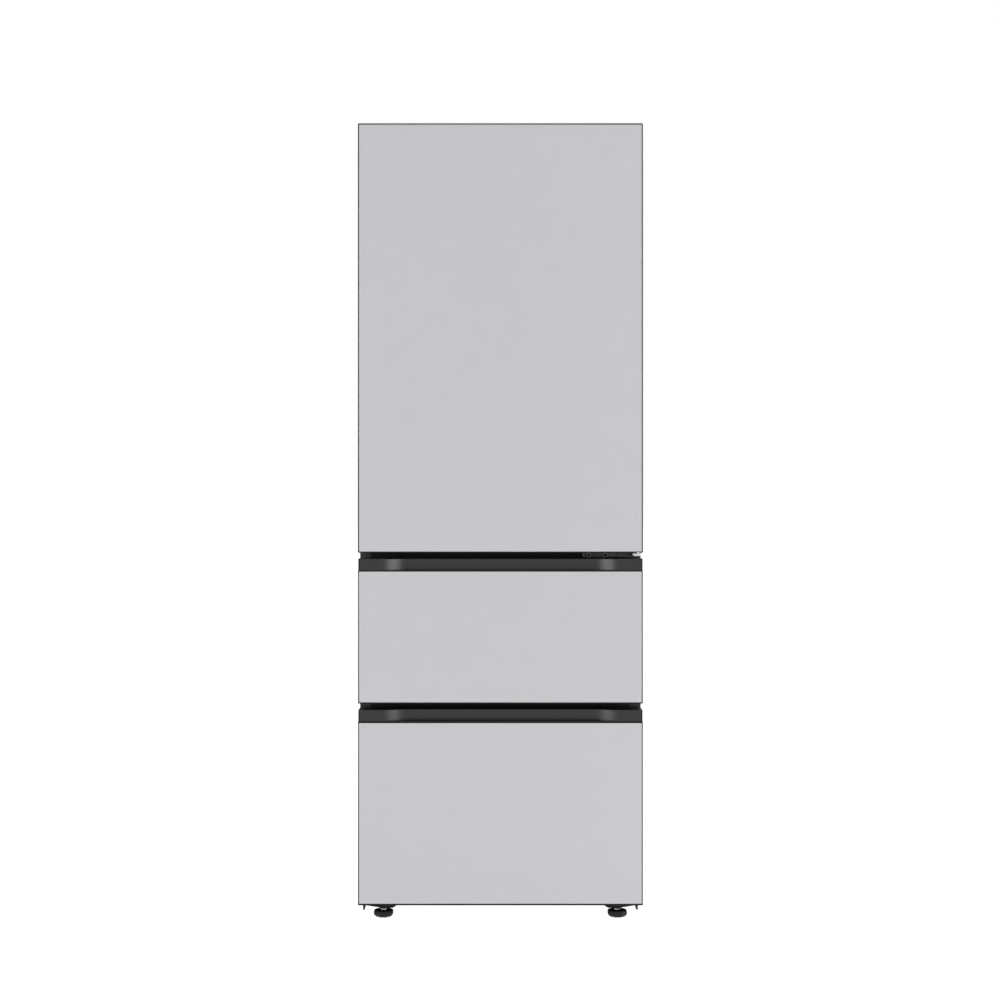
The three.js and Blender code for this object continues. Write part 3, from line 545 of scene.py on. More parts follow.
@dataclass(frozen=True)
class Finish:
    """One surface finish: its colour and gloss, and the fine detail that it shows."""

    name: str
    colour: tuple[float, float, float]
    roughness: float
    metallic: float = 0.0
    pattern: Pattern = Pattern.SATIN
    scale: float = 900.0
    spread: float = 0.08
    relief: float = 0.00003
    stretch: tuple[float, float, float] = (1.0, 1.0, 1.0)
    coat: float = 0.0
    ior: float = 1.5
    transmission: float = 0.0
    dust: float = 0.0
    # How strongly outer edges are lightened, partly as wear and partly as a painted highlight.
    wear_and_highlight: float = 0.0

    def build(self, effects: Effects) -> bpy.types.Material:
        """Makes the finish's material.

        Args:
            effects: The shared shader groups.

        Returns:
            The material.
        """
        material = bpy.data.materials.new(self.name)
        material.use_nodes = True
        tree = material.node_tree
        shader = tree.nodes["Principled BSDF"]
        shader.inputs["Metallic"].default_value = self.metallic
        shader.inputs["Coat Weight"].default_value = self.coat
        shader.inputs["IOR"].default_value = self.ior
        shader.inputs["Transmission Weight"].default_value = self.transmission
        place = tree.nodes.new("ShaderNodeTexCoord")
        stretch = tree.nodes.new("ShaderNodeMapping")
        stretch.inputs["Scale"].default_value = self.stretch
        tree.links.new(place.outputs["Object"], stretch.inputs["Vector"])
        surface = self.add_group(tree, effects.groups[self.pattern], stretch.outputs[0], self.scale,
                                 self.spread)
        surface.inputs["Colour"].default_value = (*self.colour, 1.0)
        surface.inputs["Roughness"].default_value = self.roughness
        colour = surface.outputs["Colour"]
        # Outer edges lightened as wear and as a painted highlight, then dust laid on faces that look up.
        for group, amount, scale in ((effects.wear_and_highlight, self.wear_and_highlight, WEAR_AND_HIGHLIGHT_SCALE),
                                     (effects.dust, self.dust, DUST_SCALE)):
            if amount > 0:
                layer = self.add_group(tree, group, place.outputs["Object"], scale, amount)
                tree.links.new(colour, layer.inputs["Colour"])
                colour = layer.outputs["Colour"]
        bump = tree.nodes.new("ShaderNodeBump")
        bump.inputs["Distance"].default_value = self.relief
        tree.links.new(surface.outputs["Height"], bump.inputs["Height"])
        tree.links.new(colour, shader.inputs["Base Color"])
        tree.links.new(surface.outputs["Roughness"], shader.inputs["Roughness"])
        tree.links.new(bump.outputs["Normal"], shader.inputs["Normal"])
        return material

    @staticmethod
    def add_group(tree: Tree, group: Tree, place: Socket, scale: float, spread: float) -> Node:
        """Places a shared group in a material.

        Args:
            tree: The material's node tree.
            group: The shared group.
            place: The socket of the coordinates.
            scale: The detail's scale.
            spread: The detail's strength.

        Returns:
            The group's node.
        """
        node = tree.nodes.new("ShaderNodeGroup")
        node.node_tree = group
        tree.links.new(place, node.inputs["Place"])
        node.inputs["Scale"].default_value = scale
        node.inputs["Spread"].default_value = spread
        return node


FINISHES = (
    Finish("front_sheet", (0.474, 0.471, 0.488), 0.34, 0.35, scale=1600, spread=0.05, relief=0.00001,
           coat=0.15),
    Finish("edge_trim", (0.072, 0.071, 0.073), 0.3, 0.85, scale=1200, spread=0.10),
    Finish("grip_metal", (0.034, 0.032, 0.032), 0.33, 0.75, scale=900, spread=0.12, relief=0.00001,
           stretch=(0.02, 1.0, 1.0)),
    Finish("case_coat", (0.012, 0.012, 0.013), 0.45, 0.1, Pattern.PEBBLE, 700, 0.06, 0.00004),
    Finish("matt_black", (0.009, 0.009, 0.010), 0.62, 0.0, Pattern.PEBBLE, 900, 0.1, ior=1.25),
    # Lighter outer edges here are partly wear and partly a painted highlight.
    Finish("hinge_steel", (0.055, 0.054, 0.056), 0.34, 0.75, scale=700, spread=0.2, wear_and_highlight=0.4),
    Finish("bolt_steel", (0.30, 0.30, 0.305), 0.3, 0.9, scale=700, spread=0.15),
    Finish("bright_steel", (0.66, 0.66, 0.67), 0.22, 0.9, scale=900, spread=0.08),
    Finish("galvanised_sheet", (0.42, 0.43, 0.44), 0.4, 0.85, Pattern.SPANGLE, 130, 0.14, 0.00001,
           dust=0.3),
    # Lighter outer edges here are partly wear and partly a painted highlight.
    Finish("zinc_steel", (0.60, 0.60, 0.61), 0.26, 0.95, scale=800, spread=0.14, stretch=(1, 0.05, 1),
           wear_and_highlight=0.4),
    Finish("liner_plastic", (0.80, 0.81, 0.82), 0.38, 0.0, Pattern.PEBBLE, 900, 0.03),
    Finish("insulation_foam", (0.74, 0.62, 0.36), 0.92, 0.0, Pattern.CELLS, 700, 0.5, 0.0006),
    Finish("seal_rubber", (0.020, 0.020, 0.021), 0.66, scale=500, spread=0.12),
    Finish("black_plastic", (0.018, 0.018, 0.020), 0.42, 0.0, Pattern.PEBBLE, 1100, 0.2, 0.00005, dust=0.12),
    # Lighter outer edges here are partly wear and partly a painted highlight.
    Finish("foot_plastic", (0.008, 0.008, 0.009), 0.45, 0.0, Pattern.PEBBLE, 900, 0.25, ior=1.28, wear_and_highlight=0.06),
    Finish("gloss_black", (0.006, 0.006, 0.008), 0.06, scale=300, spread=0.1, relief=0.000002, coat=0.6),
    Finish("compressor_paint", (0.010, 0.010, 0.011), 0.3, 0.1, scale=260, spread=0.3, relief=0.00008,
           coat=0.3, dust=0.5),
    Finish("aluminium", (0.62, 0.63, 0.64), 0.32, 0.95, scale=600, spread=0.16, stretch=(1, 1, 0.1),
           dust=0.2),
    Finish("copper", (0.63, 0.30, 0.17), 0.3, 0.95, scale=500, spread=0.3),
    Finish("shelf_glass", (0.88, 0.96, 0.94), 0.04, scale=60, spread=0.02, relief=0.0, transmission=1.0),
    Finish("tray_plastic", (0.70, 0.72, 0.75), 0.34, 0.0, Pattern.PEBBLE, 800, 0.05),
    Finish("container_plastic", (0.56, 0.46, 0.36), 0.36, 0.0, Pattern.PEBBLE, 900, 0.08),
    Finish("lid_plastic", (0.42, 0.33, 0.25), 0.34, 0.0, Pattern.PEBBLE, 900, 0.08),
    Finish("flap_plastic", (0.17, 0.12, 0.085), 0.34, 0.0, Pattern.PEBBLE, 900, 0.08),
    Finish("silicone", (0.72, 0.70, 0.66), 0.5, scale=400, spread=0.06),
    Finish("lamp_cover", (0.86, 0.88, 0.90), 0.3, scale=300, spread=0.03),
)


# ----------------------------------------------------------------- sub-assemblies
BODY_OF = {node: body for body, nodes in frame["record"]["behaviour"]["bodies"].items() for node in nodes}
SIDES = ((-1, "left"), (1, "right"))
# How far ribs and screw heads stand proud of the two rear sheets.
PROUD = 1.2 * MM
HEAD_PLAY = 0.1 * MM


def edges_in_plane(bm: BMesh, axis: int, value: float) -> list[BMEdge]:
    """Gives the sharp edges that lie in a plane across one axis."""
    return [e for e in sharp_edges(bm) if all(abs(v.co[axis] - value) < NEAR for v in e.verts)]


def softened(node: str, width: float, segments: int = 2,
             chosen: Optional[Callable[[BMEdge], bool]] = None) -> BMesh:
    """Copies a node's solid with its edges rounded.

    Args:
        node: The node's name.
        width: The width of the rounding.
        segments: The number of steps across it.
        chosen: Says which sharp edges are rounded. All are where it is left out.

    Returns:
        The shape.
    """
    bm = solid_copy(node)
    soften(bm, [e for e in sharp_edges(bm) if chosen is None or chosen(e)], width, segments)
    return bm


def middle_of(edge: BMEdge) -> Vector:
    """Gives the middle of an edge."""
    return (edge.verts[0].co + edge.verts[1].co) / 2


def prism(sides: int, rings: Sequence[tuple[float, float]], turn: float = 0.0) -> BMesh:
    """Builds a closed bar with flat sides round the Z axis from its rings.

    Args:
        sides: The number of sides.
        rings: The radius and height of each ring, from the bottom up.
        turn: How far it is turned about its axis, in radians.

    Returns:
        The shape.
    """
    bm = bmesh.new()
    radius, low = rings[0]
    bmesh.ops.create_circle(bm, cap_ends=True, segments=sides, radius=radius)
    swing(bm, "Z", turn)
    bmesh.ops.translate(bm, vec=(0, 0, low), verts=bm.verts[:])
    cap = bm.faces[:]
    for wide, height in rings[1:]:
        grown = bmesh.ops.extrude_face_region(bm, geom=cap, use_keep_orig=len(bm.faces) == 1)["geom"]
        cap = only(BMFace, grown)
        moved = only(BMVert, grown)
        bmesh.ops.scale(bm, vec=(wide / radius, wide / radius, 1.0), verts=moved)
        bmesh.ops.translate(bm, vec=(0, 0, height - low), verts=moved)
        radius, low = wide, height
    face_out(bm)
    return bm


def round_band(inner: float, outer: float, low: float, high: float, steps: int) -> BMesh:
    """Builds a flat ring round the Z axis, between two radii and two heights."""
    return spun(((inner, low), (outer, low), (outer, high), (inner, high), (inner, low)), steps)


def screw_head(radius: float, height: float) -> BMesh:
    """Builds a round screw head with a socket, standing on the plane Z = 0."""
    shares = ((0, 0.45), (0.38, 0.45), (0.44, 1), (0.7, 0.88), (0.94, 0.5), (1, 0), (0, 0))
    return spun([(r * radius, z * height) for r, z in shares], 18)


def thinned(node: str) -> BMesh:
    """Copies a rear sheet with its outer face drawn in by the height of what stands proud of it."""
    bm = solid_copy(node)
    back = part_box(node)[1].y
    for vert in bm.verts:
        if abs(vert.co.y - back) < SAME:
            vert.co.y -= PROUD
    return bm


def rounded_block(low: Point, high: Point, rounding: float, segments: int = 2) -> BMesh:
    """Builds a block with rounded edges.

    Args:
        low: The lowest corner.
        high: The highest corner.
        rounding: The width of the rounding.
        segments: The number of steps across it.

    Returns:
        The shape.
    """
    bm = block(low, high)
    soften(bm, bm.edges[:], rounding, segments)
    return bm


def rounded_tub(low: Point, high: Point, wall: float, corner: float, foot: float) -> BMesh:
    """Builds a moulded tub that is open at the top.

    Args:
        low: The lowest corner of its outside.
        high: The highest corner of its outside.
        wall: The thickness of its walls and floor.
        corner: The rounding of its upright corners.
        foot: The rounding round its floor.

    Returns:
        The shape.
    """
    bm = block(low, high)
    soften(bm, edges_along(bm.edges[:], 2), corner, 5)
    soften(bm, edges_in_plane(bm, 2, low[2]), foot, 4)
    inner = faces_at(bm, 2, high[2])
    inset(bm, inner, wall)
    size_x, size_y = high[0] - low[0] - 2 * wall, high[1] - low[1] - 2 * wall
    depths = (high[2] - low[2] - wall - foot, foot * 0.6, foot * 0.4)
    for depth, narrower in zip(depths, (0.0, foot * 0.35, foot * 0.65)):
        grown = push(bm, inner, (0, 0, -depth))
        inner = only(BMFace, grown)
        if narrower:
            middle = sum((f.calc_center_median() for f in inner), Vector()) / len(inner)
            bmesh.ops.scale(bm, vec=(1 - 2 * narrower / size_x, 1 - 2 * narrower / size_y, 1),
                            verts=only(BMVert, grown), space=Matrix.Translation(-middle))
    soften(bm, edges_in_plane(bm, 2, high[2]), min(wall * 0.35, 1.0 * MM))
    face_out(bm)
    return bm


def faced(bm: BMesh, centre: Point, axis: str = "Y", towards: int = -1) -> BMesh:
    """Turns a shape that stands on Z = 0 so that its top looks along an axis, and puts it in place.

    Args:
        bm: The shape.
        centre: Where its foot goes.
        axis: The axis that it looks along.
        towards: 1 to look up the axis and -1 to look down it.

    Returns:
        The same shape.
    """
    if towards < 0:
        swing(bm, "X", math.pi)
    return turned(bm, axis, centre)


def rear_screws(places: Sequence[tuple[float, float]], radius: float, y: float) -> BMesh:
    """Builds screw heads that look to the back, at the X and Z of each place."""
    return joined(*[faced(screw_head(radius, PROUD - HEAD_PLAY), (x, y, z), "Y", 1) for x, z in places])


@dataclass
class SubAssembly:
    """A group of pieces and the finishes that they share."""

    paint: dict[str, bpy.types.Material]

    def put(self, name: str, bm: BMesh, finish: str, *nodes: str, slot: str = "", body: str = "",
            smooth_degrees: float = 50.0) -> None:
        """Makes a piece of a shape, gives it its finish and joins it to the frame.

        Args:
            name: The piece's name.
            bm: Its shape, in place. It is freed.
            finish: Its finish.
            nodes: The nodes that it stands for.
            slot: The record's material slot, where it isn't called like the finish. It is not used.
            body: The body that it rides on, where it isn't the first node's or the cabinet.
            smooth_degrees: Edges sharper than this stay sharp.
        """
        mesh = bpy.data.meshes.new(name)
        bm.to_mesh(mesh)
        bm.free()
        mesh.polygons.foreach_set("use_smooth", [True] * len(mesh.polygons))
        mesh.set_sharp_from_angle(angle=math.radians(smooth_degrees))
        mesh.materials.append(self.paint[finish])
        piece = bpy.data.objects.new(name, mesh)
        bpy.context.scene.collection.objects.link(piece)
        flat = piece.modifiers.new("flat_faces", "WEIGHTED_NORMAL")
        flat.keep_sharp = True
        body = body or (BODY_OF[nodes[0]] if nodes else "cabinet")
        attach(piece, body)
        if nodes:
            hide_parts(*nodes)
        log.info("%s: %d faces on %s", name, len(mesh.polygons), body)

    def keep(self, finish: str, *nodes: str) -> None:
        """Gives nodes that keep their own solids a finish."""
        for node in nodes:
            for shape_slot in frame["nodes"][node].material_slots:
                shape_slot.material = self.paint[finish]
            log.info("%s: dressed with %s", node, finish)


@dataclass
class Front(SubAssembly):
    """What every front has: a coated sheet in a rim, an inner side and a magnetic seal."""

    node: str = "upper_door"
    body: str = "upper_door"
    gasket: str = "upper_door_gasket"
    sheet_rounding: float = 0.6 * MM
    sheet_play: float = 0.3 * MM
    rim_rounding: float = 1.3 * MM
    lip_rounding: float = 0.5 * MM
    outer_reach: float = 1.2 * MM
    raise_rounding: float = 7 * MM
    raise_reach: float = 40 * MM
    dish_border: float = 22 * MM
    dish_depth: float = 3 * MM
    dish_slope: float = 0.3
    back_rounding: float = 1.5 * MM
    top_chamfer: float = 0.0
    cap: float = 2.4 * MM
    cap_play: float = 0.1 * MM
    cap_set: float = 0.2 * MM
    cap_rounding: float = 2 * MM
    cap_easing: float = 0.4 * MM
    top_cap: float = 0.0
    cap_drop: float = 0.0
    top_drop: float = 0.0
    inner_drop: float = 0.0
    bellows: int = 5
    bellows_depth: float = 1.6 * MM

    def build(self) -> None:
        """Builds the sheet, the rim, the inner side and the seal."""
        self.build_sheet()
        self.build_rim()
        self.build_inner_side()
        self.build_seal()

    def build_sheet(self) -> None:
        """Builds the coated sheet, folded back softly all round."""
        node = f"{self.node}_panel"
        low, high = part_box(node)
        bm = solid_copy(node)
        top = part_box(f"{self.node}_frame")[1].z - self.top_cap - self.sheet_play
        if top < high.z - self.cap_play:
            cut_off(bm, 2, top, -1)
        soften(bm, edges_in_plane(bm, 1, low.y), self.sheet_rounding, 3)
        self.put(f"{self.node}_sheet", bm, "front_sheet", node)

    def build_rim(self) -> None:
        """Builds the rim, rounded outside and eased inside, and the plastic caps on its ends."""
        node = f"{self.node}_frame"
        low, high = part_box(node)
        bm = solid_copy(node)
        if self.top_chamfer:
            cut = bmesh.ops.bisect_plane(
                bm, geom=all_of(bm), clear_outer=True, plane_co=(0, low.y, high.z - self.top_chamfer),
                plane_no=(0, -1, 1))["geom_cut"]
            bmesh.ops.contextual_create(bm, geom=only(BMEdge, cut))
        self.build_cap("lower")
        cut_off(bm, 2, low.z + self.cap + self.cap_play, 1)
        if self.top_cap:
            self.build_cap("upper")
            cut_off(bm, 2, high.z - self.top_cap - self.cap_play, -1)

        def is_outer(edge: BMEdge) -> bool:
            """Says whether an edge runs along the outside of the rim."""
            at = middle_of(edge)
            return min(at.x - low.x, high.x - at.x, at.z - low.z, high.z - at.z) < self.outer_reach

        soften(bm, [e for e in edges_in_plane(bm, 1, low.y) if is_outer(e)], self.rim_rounding, 3)
        soften(bm, [e for e in edges_in_plane(bm, 1, low.y) if not is_outer(e)], self.lip_rounding, 1)
        self.put(f"{self.node}_rim", bm, "edge_trim", node, slot="dark_trim")

    def build_cap(self, name: str) -> None:
        """Builds the plastic cap that closes one end of the rim.

        Args:
            name: Which end it closes, "lower" or "upper".
        """
        low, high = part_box(f"{self.node}_frame")
        is_lower = name == "lower"
        ends = (low.z - self.cap_drop, low.z + self.cap) if is_lower else (high.z - self.top_cap, high.z)
        bm = block((low.x, low.y + self.cap_set, ends[0]), (high.x, high.y, ends[1]))
        outside = ends[0] if is_lower else ends[1]
        outer = [e for e in edges_along(bm.edges[:], 1) if abs(e.verts[0].co.z - outside) < SAME]
        soften(bm, outer, self.cap_rounding, 4)
        easing = self.cap_easing if is_lower else self.open_cap(bm)
        soften(bm, sharp_edges(bm), easing, 2)
        self.put(f"{self.node}_{name}_cap", bm, "matt_black", slot="dark_trim", body=self.body)

    def open_cap(self, bm: BMesh) -> float:
        """Leaves the upper cap whole and gives the easing of its edges."""
        return self.cap_easing

    def build_inner_side(self) -> None:
        """Builds the plastic inner side, with its raised part rounded and dished."""
        node = f"{self.node}_liner"
        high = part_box(node)[1]
        back = high.y
        bm = solid_copy(node)
        for vert in bm.verts:
            vert.co.z = min(vert.co.z, high.z - self.top_drop - self.inner_drop)
        raised = faces_at(bm, 1, back)
        if raised:
            inset(bm, raised, self.dish_border)
            inset(bm, raised, self.dish_slope * self.dish_depth, -self.dish_depth)
        corners = [e for e in edges_along(sharp_edges(bm), 1)
                   if min(v.co.y for v in e.verts) > back - self.raise_reach
                   and max(v.co.y for v in e.verts) > back - 1 * MM]
        soften(bm, corners, self.raise_rounding, 4)
        soften(bm, edges_in_plane(bm, 1, back), self.back_rounding, 2)
        self.put(f"{self.node}_inner_side", bm, "liner_plastic", node)

    def build_seal(self) -> None:
        """Builds the magnetic seal with its folded bellows."""
        low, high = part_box(self.gasket)
        bm = solid_copy(self.gasket)
        middle, half = (low + high) / 2, (high - low) / 2
        for i in range(1, 2 * self.bellows):
            y = low.y + (high.y - low.y) * i / (2 * self.bellows)
            fold = bmesh.ops.bisect_plane(bm, geom=all_of(bm), plane_co=(0, y, 0),
                                          plane_no=(0, 1, 0))["geom_cut"]
            if i % 2 == 0:
                continue
            for vert in only(BMVert, fold):
                for axis in (0, 2):
                    away = vert.co[axis] - middle[axis]
                    is_outside = abs(abs(away) - half[axis]) < LOOSE
                    step = -self.bellows_depth if is_outside else self.bellows_depth
                    vert.co[axis] += step * math.copysign(1.0, away)
        self.put(f"{self.gasket}_bellows", bm, "seal_rubber", self.gasket, smooth_degrees=70)


@dataclass
class DrawerFront(Front):
    """A drawer's front, with the curved grip that is set back along its top edge."""

    handle: str = "middle_handle"
    flat_half: float = 282 * MM
    curve_half: float = 217 * MM
    setback: float = 20 * MM
    curve_steps: int = 14
    band_play: float = 0.3 * MM
    brow_rounding: float = 1.6 * MM
    hem_rounding: float = 0.5 * MM
    trough_wall: float = 2 * MM
    trough_half: float = 224 * MM
    trough_depth: float = 30 * MM
    trough_front: float = 4 * MM
    trough_rounding: float = 3 * MM
    trough_play: float = 0.3 * MM
    end_reach: float = 4.0 * MM
    end_step: float = 0.8 * MM
    end_play: float = 0.1 * MM
    end_rounding: float = 2.4 * MM
    top_drop: float = 0.8 * MM
    inner_drop: float = 0.7 * MM
    ledge: float = 1.0 * MM
    ledge_play: float = 3 * MM
    ledge_back: float = 2 * MM
    ledge_easing: float = 0.3 * MM
    lip_depth: float = 1.8 * MM
    lip_play: float = 0.2 * MM

    def build(self) -> None:
        """Builds the front and then its grip and finger trough."""
        super().build()
        self.build_grip()
        self.build_trough()

    def open_cap(self, bm: BMesh) -> float:
        """Lowers the upper cap behind its lip and opens it over the finger trough.

        Args:
            bm: The cap.

        Returns:
            The easing of its edges.
        """
        low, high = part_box(f"{self.node}_frame")
        play, front = self.trough_play, low.y + self.trough_front
        window_x, window_y = self.trough_half + play, (front - play, front + self.trough_depth + play)
        ledge_x = self.flat_half + self.ledge_play
        ledge_y = (low.y + self.lip_depth, high.y - self.ledge_back)
        for x in (-window_x, -ledge_x, window_x, ledge_x):
            across(bm, 0, x)
        for y in window_y + ledge_y:
            across(bm, 1, y)
        push(bm, [f for f in faces_at(bm, 2, high.z) if is_within(f, ledge_x, ledge_y)], (0, 0, -self.ledge))
        window = [f for z in (high.z - self.top_cap, high.z - self.ledge) for f in faces_at(bm, 2, z)
                  if is_within(f, window_x, window_y)]
        edges = [e for f in window for e in f.edges]
        bmesh.ops.delete(bm, geom=window, context="FACES_ONLY")
        open_edges = [e for e in set(edges) if e.is_valid and len(e.link_faces) == 1]
        bmesh.ops.bridge_loops(bm, edges=open_edges)
        face_out(bm)
        return self.ledge_easing

    def curve_stops(self) -> list[tuple[float, float]]:
        """Gives the distance from the middle and the setback at each step of the S-curve."""
        stops = []
        for i in range(self.curve_steps + 1):
            t = i / self.curve_steps
            stops.append((self.flat_half - (self.flat_half - self.curve_half) * t,
                          self.setback * (3 * t * t - 2 * t ** 3)))
        return stops

    def band_box(self) -> tuple[Vector, Vector]:
        """Gives the corners of the grip's own band, above its trough."""
        low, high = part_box(self.handle)
        rim_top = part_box(f"{self.node}_frame")[1].z
        return Vector((*low.xy, rim_top + self.band_play)), Vector((*high.xy, high.z - self.top_drop))

    def build_grip(self) -> None:
        """Builds the band by cutting it across at each step and pushing its face back."""
        low, high = self.band_box()
        self.build_band_ends(low, high)
        bm = block((low.x + self.end_reach, low.y, low.z), (high.x - self.end_reach, high.y, high.z))
        stops = self.curve_stops()
        for distance, _ in stops:
            for side, _ in SIDES:
                across(bm, 0, side * distance)
        face = [v for v in bm.verts if v.co.y < low.y + NEAR]
        upper = [v for v in face if v.co.z > high.z - NEAR]
        lower = [v for v in face if v.co.z < low.z + NEAR]
        fall = (self.ledge - self.lip_play) / self.setback
        for vert in face:
            for distance, back in stops:
                if abs(abs(vert.co.x) - distance) < NEAR:
                    vert.co.y = low.y + back
                    vert.co.z -= fall * back if vert in lower else 0.0
        rims = {self.brow_rounding: edges_of(upper), self.hem_rounding: edges_of(lower)}
        for rounding, edges in rims.items():
            soften(bm, [e for e in edges if e.is_valid], rounding, 3)
        self.put(f"{self.handle}_band", bm, "grip_metal", self.handle, slot="dark_metal")

    def build_band_ends(self, low: Vector, high: Vector) -> None:
        """Builds the dark plastic ends of the band, just inside the rim's width."""
        ends = []
        for side, _ in SIDES:
            inside = high.x - self.end_reach + self.end_play
            x0, x1 = sorted((side * (high.x - self.end_step), side * inside))
            end = block((x0, low.y + self.end_play, low.z), (x1, high.y, high.z))
            corner = [e for e in edges_along(end.edges[:], 2) if abs(e.verts[0].co.x) > high.x - 2 * MM
                      and e.verts[0].co.y < low.y + 1 * MM]
            soften(end, corner, self.end_rounding, 4)
            soften(end, edges_in_plane(end, 2, high.z), self.hem_rounding, 2)
            ends.append(end)
        self.put(f"{self.handle}_band_ends", joined(*ends), "matt_black", slot="dark_metal",
                 body=self.body)

    def build_trough(self) -> None:
        """Builds the tray behind the sheet's top edge that the fingers reach into."""
        front = self.band_box()[0].y + self.trough_front
        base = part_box(self.handle)[0].z
        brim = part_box(f"{self.node}_frame")[1].z - self.ledge - self.cap_play
        bm = block((-self.trough_half, front, base), (self.trough_half, front + self.trough_depth, brim))
        soften(bm, edges_along(bm.edges[:], 2) + edges_in_plane(bm, 2, base), self.trough_rounding, 3)
        top = faces_at(bm, 2, brim)
        inset(bm, top, self.trough_wall)
        push(bm, top, (0, 0, base + self.trough_wall - brim))
        face_out(bm)
        self.put(f"{self.handle}_trough", bm, "black_plastic", self.handle, slot="dark_metal")


@dataclass
class MiddleHinge(SubAssembly):
    """The hinge between the door and the middle drawer, seen in the gap under the door."""

    node: str = "middle_hinge_bracket"
    pin: tuple[float, float] = (319 * MM, -310 * MM)
    bolts: tuple[float, float] = (209 * MM, 248 * MM)
    bolt_face: float = -0.2750
    bolt_radius: float = 5.4 * MM
    bolt_drop: float = 1.0 * MM
    rivets: tuple[float, float] = (263.5 * MM, 269 * MM)
    rivet_face: float = -0.2704
    rivet_radius: float = 1.4 * MM
    rivet_height: float = 0.8 * MM
    rivet_rise: float = 2.4 * MM
    bead: tuple[float, float] = (281 * MM, 300 * MM)
    bead_top: float = -0.1 * MM
    bead_foot: float = -1.1 * MM
    bead_half: float = 0.4 * MM
    bead_set: float = 2 * MM
    end: float = 327.8 * MM
    end_play: float = 0.2 * MM
    bearing_start: float = 306.5 * MM
    bearing_front: float = 13.8 * MM
    bearing_back: float = 13 * MM
    bearing_foot: float = 2.5 * MM
    bearing_narrowing: float = 0.7
    washer_height: float = 2.8 * MM

    def build(self) -> None:
        """Builds the bracket, its bolts, rivets and bead, and the bright bearing round its pin."""
        bm = solid_copy(self.node)
        cut_off(bm, 0, self.end, -1)
        soften(bm, sharp_edges(bm), 0.45 * MM, 2)
        self.put("middle_hinge_steel", bm, "hinge_steel", self.node, slot="galvanised_sheet",
                 smooth_degrees=60)
        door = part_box("upper_door_frame")[0].z
        middle = (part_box(self.node)[0].z + door) / 2
        for i, x in enumerate(self.bolts):
            self.build_bolt(i + 1, (x, self.bolt_face, middle - self.bolt_drop))
        rivets = [faced(screw_head(self.rivet_radius, self.rivet_height),
                        (x, self.rivet_face, middle + self.rivet_rise)) for x in self.rivets]
        self.put("middle_hinge_rivets", joined(*rivets), "bolt_steel", slot="zinc_steel")
        self.build_highlight_bead(middle)
        self.build_bearing(door, middle)

    def build_bolt(self, number: int, where: Point) -> None:
        """Builds a round bolt: a bright dished rim round a black disk that paints the shade in its socket.

        Args:
            number: Its number.
            where: The middle of its head.
        """
        name, r = f"middle_hinge_bolt_{number}", self.bolt_radius
        outline = in_mm((1.5, 0), (0, 0), (0, 1.0), (0.5, 1.6), (1.1, 1.6), (1.5, 1.0), (1.5, 0))
        rim = spun([(r - within, z) for within, z in outline], 32)
        self.put(f"{name}_rim", faced(rim, where), "bolt_steel", slot="zinc_steel")
        # A matt black disk on the socket's floor paints the shade of its recess.
        socket = prism(6, [(r - within, z) for within, z in in_mm((1.6, 0), (1.6, 0.4), (2.4, 0.5))])
        self.put(f"{name}_socket", faced(socket, where), "matt_black", slot="zinc_steel")

    def build_highlight_bead(self, middle: float) -> None:
        """Builds the pressed bead along the front edge of the hinge's shelf, in brighter steel than the shelf
        as a painted highlight on that edge.
        """
        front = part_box("middle_front_frame")[1].y - self.bead_set
        bead = rounded_block((self.bead[0], front - self.bead_half, middle + self.bead_foot),
                             (self.bead[1], front + self.bead_half, middle + self.bead_top), 0.3 * MM)
        # The bead's brighter steel, unlike the shelf's own, paints a highlight along the front edge.
        self.put("middle_hinge_highlight_bead", bead, "bolt_steel", slot="zinc_steel")

    def build_bearing(self, door: float, middle: float) -> None:
        """Builds the bright bearing round the end of the shelf, with the washer under the door.

        Args:
            door: The height of the door's lower edge.
            middle: The middle height of the gap.
        """
        x, y = self.pin
        bearing = rounded_block(
            (self.bearing_start, y - self.bearing_front, middle - self.bearing_foot),
            (self.end + self.end_play, y + self.bearing_back, door - self.washer_height), 0.7 * MM)
        for vert in bearing.verts:
            if vert.co.z < middle:
                vert.co.x += max(0.0, x - vert.co.x) * self.bearing_narrowing
        self.put("middle_hinge_bearing", bearing, "bright_steel", slot="zinc_steel")
        washer = spun(in_mm((5.2, -2.7), (8.4, -2.7), (8.8, -2.3), (8.8, -0.7), (8.4, -0.3), (5.2, -0.3),
                            (5.2, -2.7)), 40)
        self.put("middle_hinge_washer", turned(washer, "Z", (x, y, door)), "bright_steel",
                 slot="zinc_steel")


